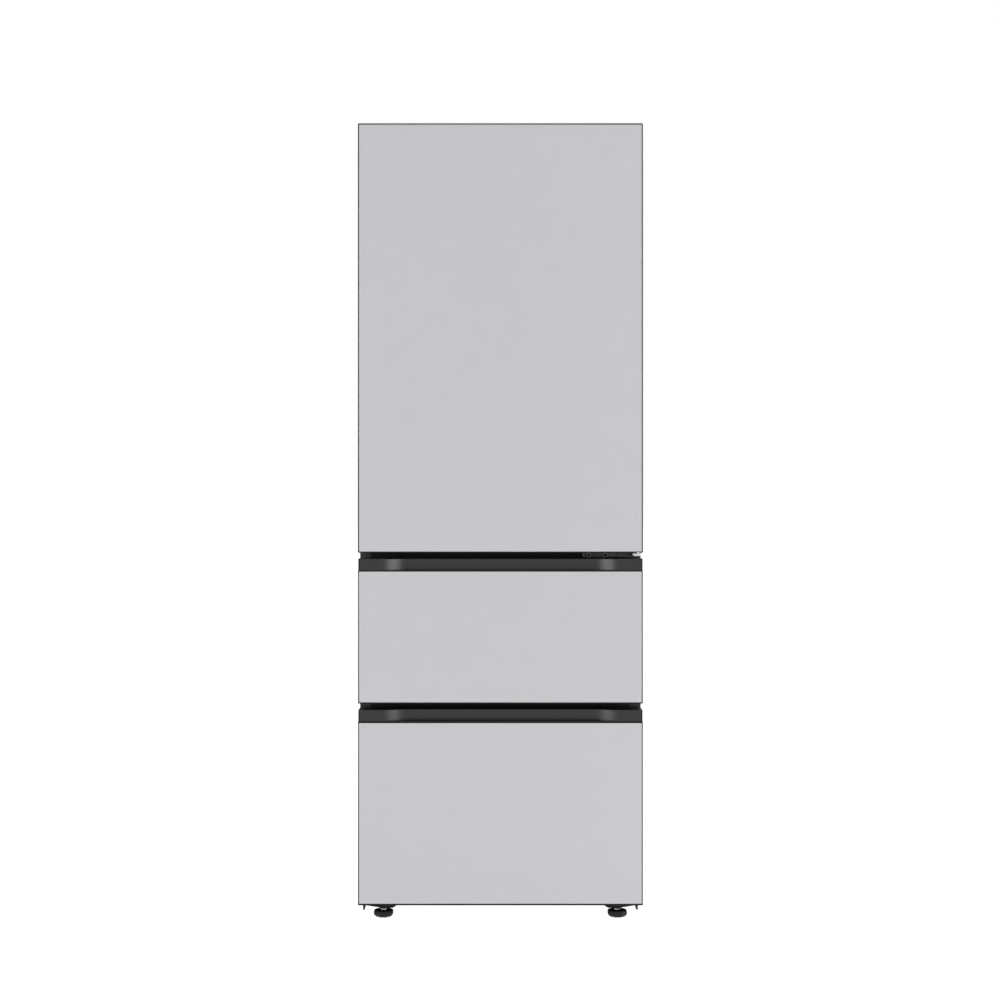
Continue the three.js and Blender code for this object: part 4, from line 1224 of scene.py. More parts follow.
@dataclass
class FrontFoot(SubAssembly):
    """A levelling foot: an eight-sided pad on a threaded screw, in a black bracket."""

    side: int = -1
    hand: str = "left"
    centre: tuple[float, float] = (275 * MM, -301 * MM)
    across: float = 45 * MM
    pad_top: float = 16 * MM
    recess: float = 3.2 * MM
    corner_easing: float = 0.9 * MM
    thread_outer: float = 5.0 * MM
    thread_root: float = 4.3 * MM
    pitch: float = 1.5 * MM
    thread_ends: tuple[float, float] = (8.2 * MM, 35.8 * MM)

    def build(self) -> None:
        """Builds the pad, the screw with its nut and washer, and the bracket."""
        where = (self.side * self.centre[0], self.centre[1], 0.0)
        self.build_pad(where)
        self.build_screw(where)
        node = f"foot_bracket_{self.hand}"
        bracket = softened(node, 0.8 * MM, 2, lambda e: e.calc_length() > 4 * MM)
        self.put(f"{node}_cast", bracket, "matt_black", node, slot="case_sheet")

    def build_pad(self, where: Point) -> None:
        """Builds the eight-sided pad with its chamfers, its sole and the recess round the screw."""
        half = self.across / 2 / math.cos(math.pi / 8)
        top, floor = self.pad_top, self.pad_top - self.recess
        side = in_mm((6.8, 0), (5.8, 0.4), (1.3, 4.6), (0, 7.2), (0, 12.6), (0.8, 14.4))
        rings = [(half - within, z) for within, z in side]
        rings += [(half - 2.8 * MM, top - 0.5 * MM), (half - 4 * MM, top), (12.4 * MM, top), (11 * MM, floor),
                  (5.6 * MM, floor)]
        bm = prism(8, rings, math.pi / 8)
        upright = [e for e in bm.edges if abs(e.verts[0].co.z - e.verts[1].co.z) > 0.05 * MM
                   and math.hypot(*middle_of(e).xy) > half - 6 * MM]
        soften(bm, upright, self.corner_easing, 2)
        self.put(f"foot_{self.hand}_pad_fluted", turned(bm, "Z", where), "foot_plastic",
                 f"foot_pad_{self.hand}", smooth_degrees=35)

    def build_screw(self, where: Point) -> None:
        """Builds the threaded rod with its six-sided nut, and the washer above it."""
        outer, root, pitch = self.thread_outer, self.thread_root, self.pitch
        low, high = self.thread_ends
        profile = [(0, low), (root, low)]
        for i in range(int((high - low) / pitch)):
            z = low + i * pitch
            profile += [(root, z + 0.15 * pitch), (outer, z + 0.5 * pitch), (root, z + 0.85 * pitch)]
        rod = spun([*profile, (root, high), (0, high)], 24)
        nut = prism(6, in_mm((7.2, 13.4), (8, 13.9), (8, 19.1), (7.2, 19.6)))
        self.put(f"foot_{self.hand}_screw_thread", turned(joined(rod, nut), "Z", where), "zinc_steel",
                 f"foot_screw_{self.hand}")
        washer = spun(in_mm((5.2, 19.8), (9.0, 19.8), (9.4, 20.2), (9.4, 23.2), (9.0, 23.6), (5.2, 23.6),
                            (5.2, 19.8)), 32)
        self.put(f"foot_{self.hand}_washer", turned(washer, "Z", where), "matt_black", slot="zinc_steel",
                 body=f"screw_{self.hand}")


@dataclass
class Cabinet(SubAssembly):
    """The cabinet's shell, its linings and the cross members between the rooms."""

    lining_rounding: float = 9 * MM
    lining_flange: float = 20 * MM
    lining_sheet: float = 2 * MM
    mouth_rounding: float = 0.9 * MM
    rib_border: float = 26 * MM
    rib_rise: float = 1.1 * MM
    rib_width: float = 12 * MM
    rib_slope: float = 4 * MM
    screw_radius: float = 4.5 * MM
    screw_border: float = 9 * MM
    screw_start: float = 14 * MM
    screw_pitch: float = 0.38
    screws_a_side: int = 5
    room_sheet: float = 0.8 * MM
    room_gap: float = 37.0 * MM
    room_fold: float = 6 * MM

    def build(self) -> None:
        """Builds the shell, the linings, the cross members and the base."""
        self.put("case_shell", softened("outer_case", 0.6 * MM), "case_coat", "outer_case",
                 slot="case_sheet")
        for node in ("upper_mullion", "lower_mullion"):
            self.put(f"{node}_cover", softened(node, 1.5 * MM, 3), "matt_black", node, slot="case_sheet")
        for room in ("upper", "middle", "lower"):
            self.build_lining(f"{room}_liner")
        self.put("base_pressing", softened("base_frame", 0.4 * MM, 1), "galvanised_sheet", "base_frame")
        self.keep("insulation_foam", "cabinet_insulation")
        self.build_back()
        self.line_machine_room()

    def build_lining(self, node: str) -> None:
        """Builds a room's lining with the soft inner corners of a formed sheet.

        Args:
            node: The lining's node.
        """
        low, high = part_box(node)
        bm = solid_copy(node)
        half, back = high.x - self.lining_flange, high.y - self.lining_sheet
        floor, ceiling = low.z + self.lining_flange, high.z - self.lining_flange

        def is_inner_corner(edge: BMEdge) -> bool:
            """Says whether an edge is one of the room's own long inner corners."""
            at = middle_of(edge)
            on_side = abs(abs(at.x) - half) < LOOSE
            on_level = min(abs(at.z - floor), abs(at.z - ceiling)) < LOOSE
            on_back = abs(at.y - back) < LOOSE
            return on_side + on_level + on_back >= 2 and edge.calc_length() > 0.1

        soften(bm, [e for e in sharp_edges(bm) if is_inner_corner(e)], self.lining_rounding, 4)
        soften(bm, edges_in_plane(bm, 1, low.y), self.mouth_rounding, 2)
        self.put(f"{node}_formed", bm, "liner_plastic", node)

    def build_back(self) -> None:
        """Builds the back sheet with its raised ribs and its screws."""
        low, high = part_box("back_panel")
        bm = thinned("back_panel")
        face = high.y - PROUD
        for part in (1 / 3, 2 / 3):
            across(bm, 2, low.z + (high.z - low.z) * part)
        fields = faces_at(bm, 1, face)
        for width, rise in ((self.rib_border, 0.0), (self.rib_slope, self.rib_rise), (self.rib_width, 0.0),
                            (self.rib_slope, -self.rib_rise)):
            bmesh.ops.inset_individual(bm, faces=fields, thickness=width, depth=rise)
        self.put("back_sheet_pressed", bm, "galvanised_sheet", "back_panel", smooth_degrees=12)
        places = [(side * (high.x - self.screw_border), low.z + self.screw_start + step * self.screw_pitch)
                  for side, _ in SIDES for step in range(self.screws_a_side)]
        self.put("back_sheet_screws", rear_screws(places, self.screw_radius, face), "zinc_steel")

    def line_machine_room(self) -> None:
        """Builds the folded sheet that lines the front and the ceiling of the machine room."""
        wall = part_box("compressor")[0].y - self.room_gap
        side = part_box("outer_case")[1].x - 2.4 * MM
        floor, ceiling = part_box("base_frame")[0].z + 3 * MM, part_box("back_panel")[0].z - 0.9 * MM
        bm = block((-side, wall, floor), (side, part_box("back_panel")[0].y - 1 * MM, ceiling))
        kept = set(faces_at(bm, 1, wall) + faces_at(bm, 2, ceiling))
        bmesh.ops.delete(bm, geom=[f for f in bm.faces if f not in kept], context="FACES")
        soften(bm, [e for e in bm.edges if len(e.link_faces) == 2], self.room_fold, 5)
        face_out(bm)
        bmesh.ops.solidify(bm, geom=bm.faces[:], thickness=self.room_sheet)
        face_out(bm)
        self.put("machine_room_lining", bm, "galvanised_sheet")


@dataclass
class TopHinge(SubAssembly):
    """The hinge on top of the cabinet, under its moulded cover."""

    cover_rounding: float = 2.4 * MM
    cover_end: float = 0.322
    screw_y: float = -0.215
    screw_shift: float = 12 * MM
    screw_depth: float = 1.0 * MM

    def build(self) -> None:
        """Builds the bracket and the cover with its screw."""
        bracket, cover = "top_hinge_bracket", "top_hinge_cover"
        self.put("top_hinge_steel", softened(bracket, 0.5 * MM), "zinc_steel", bracket, smooth_degrees=60)
        bm = solid_copy(cover)
        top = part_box(cover)[1].z
        soften(bm, edges_in_plane(bm, 2, top), self.cover_rounding, 4)
        self.put("top_hinge_cap", bm, "black_plastic", cover, smooth_degrees=40)
        screw_x = (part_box(bracket)[0].x + self.cover_end) / 2 - self.screw_shift
        screw = faced(screw_head(3.4 * MM, 0.9 * MM), (screw_x, self.screw_y, top - self.screw_depth), "Z", 1)
        self.put("top_hinge_cap_screw", screw, "zinc_steel")


@dataclass
class Roller(SubAssembly):
    """A rear roller on its axle."""

    side: int = -1
    hand: str = "left"
    bore: float = 4.3 * MM
    dish: float = 1.6 * MM
    easing: float = 1.2 * MM

    def build(self) -> None:
        """Builds the tread with its dished hub, and the axle."""
        low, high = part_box(f"roller_{self.hand}")
        radius, half = (high.z - low.z) / 2, (high.x - low.x) / 2
        outline = [(self.bore, half), (7 * MM, half), (7.4 * MM, half - self.dish),
                   (12 * MM, half - self.dish), (12.4 * MM, half), (radius - self.easing, half),
                   (radius, half - self.easing)]
        tread = spun([(r, -x) for r, x in outline] + outline[::-1] + [(self.bore, -half)], 48)
        self.put(f"roller_{self.hand}_tread", turned(tread, "X", (low + high) / 2), "black_plastic",
                 f"roller_{self.hand}")
        axle = f"roller_axle_{self.hand}"
        self.put(f"roller_{self.hand}_pin", softened(axle, 0.5 * MM), "zinc_steel", axle,
                 smooth_degrees=60)


@dataclass
class Shelf(SubAssembly):
    """A glass shelf with its moulded front trim and rear bead."""

    node: str = "shelf_lower"
    trim_depth: float = 8 * MM
    trim_rounding: float = 2.2 * MM
    trim_border: float = 2.0 * MM
    trim_groove: float = 0.6 * MM
    pane: float = 5 * MM
    pane_rise: float = 8.3 * MM
    pane_play: float = 1 * MM
    bead_depth: float = 6 * MM
    bead_rise: float = 8 * MM

    def build(self) -> None:
        """Builds the pane, the trim and the bead."""
        low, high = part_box(self.node)
        left, right = low.x + self.pane_play, high.x - self.pane_play
        rise = low.z + self.pane_rise
        pane = rounded_block((left, low.y + self.trim_depth - 3 * MM, rise),
                             (right, high.y - 2 * MM, rise + self.pane), 0.8 * MM)
        self.put(f"{self.node}_pane", pane, "shelf_glass", self.node)
        trim = rounded_block(low, (high.x, low.y + self.trim_depth - 0.2 * MM, high.z), self.trim_rounding, 4)
        bmesh.ops.inset_individual(trim, faces=faces_at(trim, 1, low.y), thickness=self.trim_border,
                                   depth=-self.trim_groove)
        self.put(f"{self.node}_trim", trim, "tray_plastic")
        bead = rounded_block((left, high.y - self.bead_depth, rise - 0.3 * MM),
                             (right, high.y, rise + self.bead_rise), 1.4 * MM, 3)
        self.put(f"{self.node}_bead", bead, "tray_plastic")


@dataclass
class DrawerInside(SubAssembly):
    """What a drawer carries: its tray on two slides, with the travelling slide members."""

    room: str = "middle"
    body: str = "middle_drawer"
    wall: float = 3 * MM
    corner: float = 14 * MM
    foot: float = 8 * MM
    tray_half: float = 0.2577
    member_play: float = 3.6 * MM
    member_border: float = 5 * MM
    member_groove: float = 2.4 * MM
    rivet_radius: float = 3.2 * MM
    rivet_height: float = 0.25 * MM
    rivet_places: tuple[float, ...] = (0.06, 0.5, 0.94)
    rail_web: float = 1.5 * MM

    def build(self) -> None:
        """Builds the tray with its slide members, the rails and the travelling members."""
        node = f"{self.room}_tray"
        low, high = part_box(node)
        tub = rounded_tub((-self.tray_half, low.y, low.z), (self.tray_half, high.y, high.z), self.wall,
                          self.corner, self.foot)
        self.put(f"{node}_moulded", tub, "tray_plastic", node)
        for side, hand in SIDES:
            self.build_member(node, side, hand)
        for side, hand in SIDES:
            rail = f"{self.room}_rail_{hand}"
            self.put(f"{rail}_channel", softened(rail, 0.4 * MM), "zinc_steel", rail)
            self.add_rivets(rail, side)
        carriage = f"{self.room}_slide_carriage"
        self.put(f"{carriage}_rolled", softened(carriage, 0.35 * MM), "zinc_steel", carriage)

    def build_member(self, node: str, side: int, hand: str) -> None:
        """Builds the slide member on one side of the tray.

        Args:
            node: The tray's node.
            side: -1 for the left side and 1 for the right one.
            hand: The side's name.
        """
        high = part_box(node)[1]
        rail_low, rail_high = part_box(f"{self.room}_rail_right")
        outside = side * high.x
        x0, x1 = sorted((side * (self.tray_half - 0.4 * MM), outside))
        bm = rounded_block((x0, rail_low.y, rail_low.z + self.member_play),
                           (x1, high.y, rail_high.z - self.member_play), 1.6 * MM, 3)
        bmesh.ops.inset_individual(bm, faces=faces_at(bm, 0, outside), thickness=self.member_border,
                                   depth=-self.member_groove)
        self.put(f"{self.room}_slide_member_{hand}", bm, "zinc_steel", node)

    def add_rivets(self, rail: str, side: int) -> None:
        """Adds the rivets that hold a fixed rail to the lining, on its inner face.

        Args:
            rail: The rail's node.
            side: -1 for the left side and 1 for the right one.
        """
        low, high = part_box(rail)
        x = high.x - self.rail_web if side > 0 else low.x + self.rail_web
        places = [(x, low.y + (high.y - low.y) * part, (low.z + high.z) / 2) for part in self.rivet_places]
        heads = [faced(screw_head(self.rivet_radius, self.rivet_height), at, "X", -side) for at in places]
        self.put(f"{rail}_rivets", joined(*heads), "zinc_steel")


@dataclass
class KimchiContainer(SubAssembly):
    """A kimchi container with its bands and finger grips, and its lid with a vent and two locking flaps."""

    hand: str = "left"
    wall: float = 3 * MM
    corner: float = 22 * MM
    foot: float = 12 * MM
    band_reach: float = 1.2 * MM
    band_height: float = 3.4 * MM
    band_drops: tuple[float, float] = (20 * MM, 30 * MM)
    grip_half: float = 50 * MM
    grip_drops: tuple[float, float] = (64 * MM, 42 * MM)
    grip_reach: float = 2.6 * MM
    flap_half: float = 46 * MM
    flap_drops: tuple[float, float] = (32 * MM, 1.2 * MM)
    flap_reach: float = 4.4 * MM
    hinge_radius: float = 2.4 * MM
    lid_height: float = 10 * MM
    field_border: float = 36 * MM
    field_corner: float = 16 * MM

    def build(self) -> None:
        """Builds the tub, its bands, its grips and its lid."""
        node = f"container_{self.hand}"
        low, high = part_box(node)
        self.put(f"{node}_tub", rounded_tub(low, high, self.wall, self.corner, self.foot),
                 "container_plastic", node)
        reach = Vector((self.band_reach, self.band_reach, 0))
        parts = [self.band(low - reach, high + reach, high.z - drop) for drop in self.band_drops]
        parts += [self.grip(low, high, y, towards) for y, towards in ((low.y, -1), (high.y, 1))]
        self.put(f"{node}_bands", joined(*parts), "container_plastic", body=BODY_OF[node])
        self.build_lid()

    def grip(self, low: Vector, high: Vector, y: float, towards: int) -> BMesh:
        """Builds a moulded grip on the front or the back of the tub.

        Args:
            low: The tub's lowest corner.
            high: The tub's highest corner.
            y: Where its wall stands.
            towards: 1 where the wall looks to the back and -1 where it looks to the front.

        Returns:
            The shape.
        """
        middle, outside = (low.x + high.x) / 2, y + towards * self.grip_reach
        y0, y1 = sorted((y - towards * 0.5 * MM, outside))
        bm = rounded_block((middle - self.grip_half, y0, high.z - self.grip_drops[0]),
                           (middle + self.grip_half, y1, high.z - self.grip_drops[1]), 1.2 * MM, 3)
        face = faces_at(bm, 1, outside)
        inset(bm, face, 3 * MM)
        inset(bm, face, 1.5 * MM, -1.8 * MM)
        return bm

    def band(self, low: Vector, high: Vector, z: float) -> BMesh:
        """Builds a band that lies round the tub.

        Args:
            low: The lowest corner of its outside.
            high: The highest corner of its outside.
            z: Its lowest height.

        Returns:
            The shape.
        """
        top = z + self.band_height
        bm = block((low.x, low.y, z), (high.x, high.y, top))
        soften(bm, edges_along(bm.edges[:], 2), self.corner + self.band_reach, 6)
        caps = faces_at(bm, 2, z) + faces_at(bm, 2, top)
        bmesh.ops.inset_individual(bm, faces=caps, thickness=self.band_reach + 1 * MM, depth=0.0,
                                   use_even_offset=True)
        inner = [e for f in caps for e in f.edges]
        bmesh.ops.delete(bm, geom=caps, context="FACES_ONLY")
        bmesh.ops.bridge_loops(bm, edges=[e for e in inner if e.is_valid])
        soften(bm, sharp_edges(bm), 0.6 * MM, 2)
        face_out(bm)
        return bm

    def build_lid(self) -> None:
        """Builds the lid: a rounded rim round a sunk field, a raised middle and the plug below."""
        node = f"lid_{self.hand}"
        low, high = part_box(node)
        plate = high.z - self.lid_height
        bm = block((low.x, low.y, plate), high)
        soften(bm, edges_along(bm.edges[:], 2), self.corner + 1 * MM, 6)
        soften(bm, edges_in_plane(bm, 2, high.z), 2.2 * MM, 4)
        top, under = faces_at(bm, 2, high.z), faces_at(bm, 2, plate)
        inset(bm, top, 8 * MM)
        inset(bm, top, 2.5 * MM, -4 * MM)
        inset(bm, under, 5 * MM)
        inset(bm, under, 0.4 * MM, plate - low.z)
        margin = Vector((self.field_border, self.field_border, 0))
        (x0, y0, _), (x1, y1, _) = low + margin, high - margin
        raised = block((x0, y0, high.z - 5 * MM), (x1, y1, high.z - 1.2 * MM))
        soften(raised, edges_along(raised.edges[:], 2), self.field_corner, 6)
        brow = [e for e in sharp_edges(raised, 60) if e.verts[0].co.z > high.z - 2 * MM]
        soften(raised, brow, 1.2 * MM, 3)
        self.put(f"{node}_pressed", joined(bm, raised), "lid_plastic", node, smooth_degrees=35)
        self.build_vent(node, (low + high) / 2, high.z - 1 * MM)
        for name, y, towards in (("front", low.y, -1), ("back", high.y, 1)):
            self.build_flap(f"{node}_flap_{name}", node, y, towards)

    def build_vent(self, node: str, middle: Vector, z: float) -> None:
        """Builds the round turning vent in the middle of the lid, with its finger bar.

        Args:
            node: The lid's node.
            middle: The lid's middle.
            z: The height that the vent stands at.
        """
        ring = spun(in_mm((0, 0.6), (15, 0.6), (17, 1.0), (19, 0.4), (20, -0.6), (0, -0.6)), 48)
        bar = rounded_block(*in_mm((-13, -2.2, 0), (13, 2.2, 0.95)), 0.4 * MM)
        self.put(f"{node}_vent", turned(joined(ring, bar), "Z", (middle.x, middle.y, z)), "silicone",
                 slot="lid_plastic", body=BODY_OF[node])

    def build_flap(self, name: str, node: str, y: float, towards: int) -> None:
        """Builds a flap that locks the lid over the tub's rim, with its round hinge.

        Args:
            name: The piece's name.
            node: The lid's node.
            y: Where the lid's edge lies.
            towards: 1 where the edge looks to the back and -1 where it looks to the front.
        """
        low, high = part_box(node)
        middle, outside = (low.x + high.x) / 2, y + towards * self.flap_reach
        y0, y1 = sorted((y + towards * 1.6 * MM, outside))
        flap = rounded_block((middle - self.flap_half, y0, high.z - self.flap_drops[0]),
                             (middle + self.flap_half, y1, high.z - self.flap_drops[1]), 1.2 * MM, 3)
        face = faces_at(flap, 1, outside)
        inset(flap, face, 5 * MM)
        inset(flap, face, 1 * MM, -0.9 * MM)
        hinge = bmesh.new()
        ends = [Vector((middle + side * (self.flap_half - 2 * MM), y + towards * 1.2 * MM, high.z - 4.4 * MM))
                for side, _ in SIDES]
        add_tube(hinge, ends, self.hinge_radius, 16)
        face_out(hinge)
        self.put(name, joined(flap, hinge), "flap_plastic", slot="lid_plastic", body=BODY_OF[node])


def fan_blade(radius: float, inner: float, depth: float, pitch_degrees: float) -> BMesh:
    """Builds one twisted and cambered blade of a fan, reaching out along X.

    Args:
        radius: The reach of the blade.
        inner: The radius that it starts at, inside the hub.
        depth: The fan's length along its axis, from Z = 0 up.
        pitch_degrees: The blade's angle at the hub.

    Returns:
        The shape.
    """
    bm = bmesh.new()
    bmesh.ops.create_grid(bm, x_segments=7, y_segments=6, size=0.5)
    for vert in bm.verts:
        along, aside = vert.co.x + 0.5, vert.co.y
        reach = inner + (radius - inner) * along
        chord = (radius - inner) * (0.62 + 0.25 * along)
        tilt = math.radians(pitch_degrees) * (1.0 - 0.45 * along)
        arc = aside * chord / reach + 0.25 * along
        camber = 0.10 * chord * (0.25 - aside * aside)
        vert.co = Vector((reach * math.cos(arc), reach * math.sin(arc),
                          depth / 2 + aside * chord * math.sin(tilt) * 0.7 + camber))
    face_out(bm)
    bmesh.ops.solidify(bm, geom=bm.faces[:], thickness=1.4 * MM)
    heights = [v.co.z for v in bm.verts]
    low, high = min(heights), max(heights)
    bmesh.ops.scale(bm, vec=(1, 1, min(1.0, 0.94 * depth / (high - low))), verts=bm.verts[:],
                    space=Matrix.Translation((0, 0, -(low + high) / 2)))
    bmesh.ops.translate(bm, vec=(0, 0, depth / 2 - (low + high) / 2), verts=bm.verts[:])
    return bm


def fan_rotor(radius: float, depth: float, pitch_degrees: float, hub: float = 14 * MM,
              blades: int = 5) -> BMesh:
    """Builds an axial fan on the Z axis, with twisted blades on a capped hub.

    Args:
        radius: The reach of the blades.
        depth: The fan's length along its axis, from Z = 0 up.
        pitch_degrees: The blades' angle at the hub.
        hub: The hub's radius.
        blades: The number of blades.

    Returns:
        The shape.
    """
    parts = [spun(((0, 0), (hub, 0), (hub, depth * 0.86), (hub * 0.9, depth * 0.97), (hub * 0.7, depth),
                   (0, depth)), 32)]
    for i in range(blades):
        blade = fan_blade(radius, hub * 0.9, depth, pitch_degrees)
        swing(blade, "Z", 2 * math.pi * i / blades)
        parts.append(blade)
    return joined(*parts)


@dataclass
class ColdAir(SubAssembly):
    """The evaporator behind its cover, with the fan that blows through the cover's grille."""

    cover: str = "evaporator_cover"
    fan_radius: float = 46 * MM
    fan_pitch_degrees: float = 38
    grille_rings: tuple[float, ...] = (22 * MM, 34 * MM, 46 * MM)
    grille_half: float = 1.1 * MM
    outlet_rows: int = 5
    outlet_start: float = 0.075
    outlet_pitch: float = 0.137
    outlet_x: float = 0.17
    outlet_half: float = 58 * MM
    outlet_height: float = 24 * MM
    outlet_reach: float = 5 * MM
    outlet_border: float = 3.2 * MM
    slats: int = 4
    slat_pitch: float = 4.2 * MM
    touch_fields: int = 5
    touch_pitch: float = 0.04
    lamp_x: tuple[float, float] = (0.2882, 0.2845)
    lamp_y: tuple[float, float] = (-0.205, -0.185)
    lamp_z: tuple[float, float] = (1.53, 1.76)

    def build(self) -> None:
        """Builds the cover, its grille and outlets, the fan, the coil and the controls."""
        self.put(f"{self.cover}_moulded", softened(self.cover, 0.7 * MM), "liner_plastic", self.cover)
        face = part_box(self.cover)[0].y
        low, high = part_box("evaporator_fan")
        x, _, z = (low + high) / 2
        self.build_grille(face, z)
        self.build_outlets(face)
        fan = fan_rotor(self.fan_radius, high.y - low.y, self.fan_pitch_degrees)
        self.put("evaporator_fan_rotor", turned(fan, "Y", (x, low.y, z)), "black_plastic",
                 "evaporator_fan")
        self.keep("aluminium", "evaporator")
        self.put("control_box_moulded", softened("control_box", 2 * MM, 3), "black_plastic",
                 "control_box")
        self.build_controls()
        self.build_lamps()

    def build_grille(self, y: float, z: float) -> None:
        """Builds the rings of the fan's grille.

        Args:
            y: Where the cover's face stands.
            z: The height of the fan's axis.
        """
        half = self.grille_half
        rings = [turned(round_band(r - half, r + half, 0, 2.6 * MM, 64), "Y", (0, y + 0.2 * MM, z))
                 for r in self.grille_rings]
        rim = spun(in_mm((53.6, -1.4), (58, -1.4), (59, 0.4), (53.6, 0.4), (53.6, -1.4)), 72)
        self.put(f"{self.cover}_grille", joined(*rings, turned(rim, "Y", (0, y, z))), "liner_plastic")

    def build_outlets(self, y: float) -> None:
        """Builds the air outlets down the cover: a frame, a black sheet that paints the shade in its opening,
        and its slats.

        Args:
            y: Where the cover's face stands.
        """
        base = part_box(self.cover)[0].z + self.outlet_start
        half, border = self.outlet_half, self.outlet_border
        frames, opening_shade_sheets = [], []
        for i in range(self.outlet_rows):
            z, top = base + i * self.outlet_pitch, base + i * self.outlet_pitch + self.outlet_height
            for x in (-self.outlet_x, self.outlet_x):
                outlet = rounded_block((x - half, y - self.outlet_reach, z), (x + half, y + 0.5 * MM, top),
                                       1.4 * MM, 3)
                face = faces_at(outlet, 1, y - self.outlet_reach)
                inset(outlet, face, 2.4 * MM)
                inset(outlet, face, 0.3 * MM, -3.6 * MM)
                frames.append(outlet)
                # A thin black sheet in each outlet's pocket paints the shade inside its opening.
                opening_shade_sheets.append(block((x - half + border, y - 1.6 * MM, z + border),
                                  (x + half - border, y - 1.2 * MM, top - border)))
                frames += [self.slat(x, y - 3.2 * MM, z + 3.6 * MM + (step + 0.5) * self.slat_pitch)
                           for step in range(self.slats)]
        self.put(f"{self.cover}_outlets", joined(*frames), "liner_plastic")
        self.put(f"{self.cover}_painted_opening_shades", joined(*opening_shade_sheets), "black_plastic", slot="liner_plastic")

    def slat(self, x: float, y: float, z: float) -> BMesh:
        """Builds one sloping slat of an air outlet.

        Args:
            x: The middle of its length.
            y: The middle of its depth.
            z: The middle of its height.

        Returns:
            The shape.
        """
        half = self.outlet_half - 2.6 * MM
        bm = rounded_block((-half, -1.4 * MM, -0.5 * MM), (half, 1.4 * MM, 0.5 * MM), 0.3 * MM, 1)
        swing(bm, "X", math.radians(30))
        bmesh.ops.translate(bm, vec=(x, y, z), verts=bm.verts[:])
        return bm

    def build_controls(self) -> None:
        """Builds the touch panel under the ceiling, with plain round touch fields."""
        low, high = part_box("control_panel")
        self.put("control_panel_glass", softened("control_panel", 1.6 * MM, 3), "gloss_black",
                 "control_panel")
        first = -self.touch_pitch * (self.touch_fields - 1) / 2
        fields = [faced(round_band(6 * MM, 7 * MM, -0.4 * MM, 0.25 * MM, 36),
                        (first + i * self.touch_pitch, (low.y + high.y) / 2, low.z), "Z", -1)
                  for i in range(self.touch_fields)]
        self.put("control_panel_fields", joined(*fields), "silicone", slot="gloss_black")

    def build_lamps(self) -> None:
        """Builds the two lamp strips on the side walls of the upper room."""
        for side, hand in SIDES:
            x0, x1 = sorted(side * x for x in self.lamp_x)
            (y0, y1), (z0, z1) = self.lamp_y, self.lamp_z
            strip = rounded_block((x0, y0, z0), (x1, y1, z1), 1.2 * MM, 3)
            self.put(f"room_lamp_{hand}", strip, "lamp_cover", slot="liner_plastic")


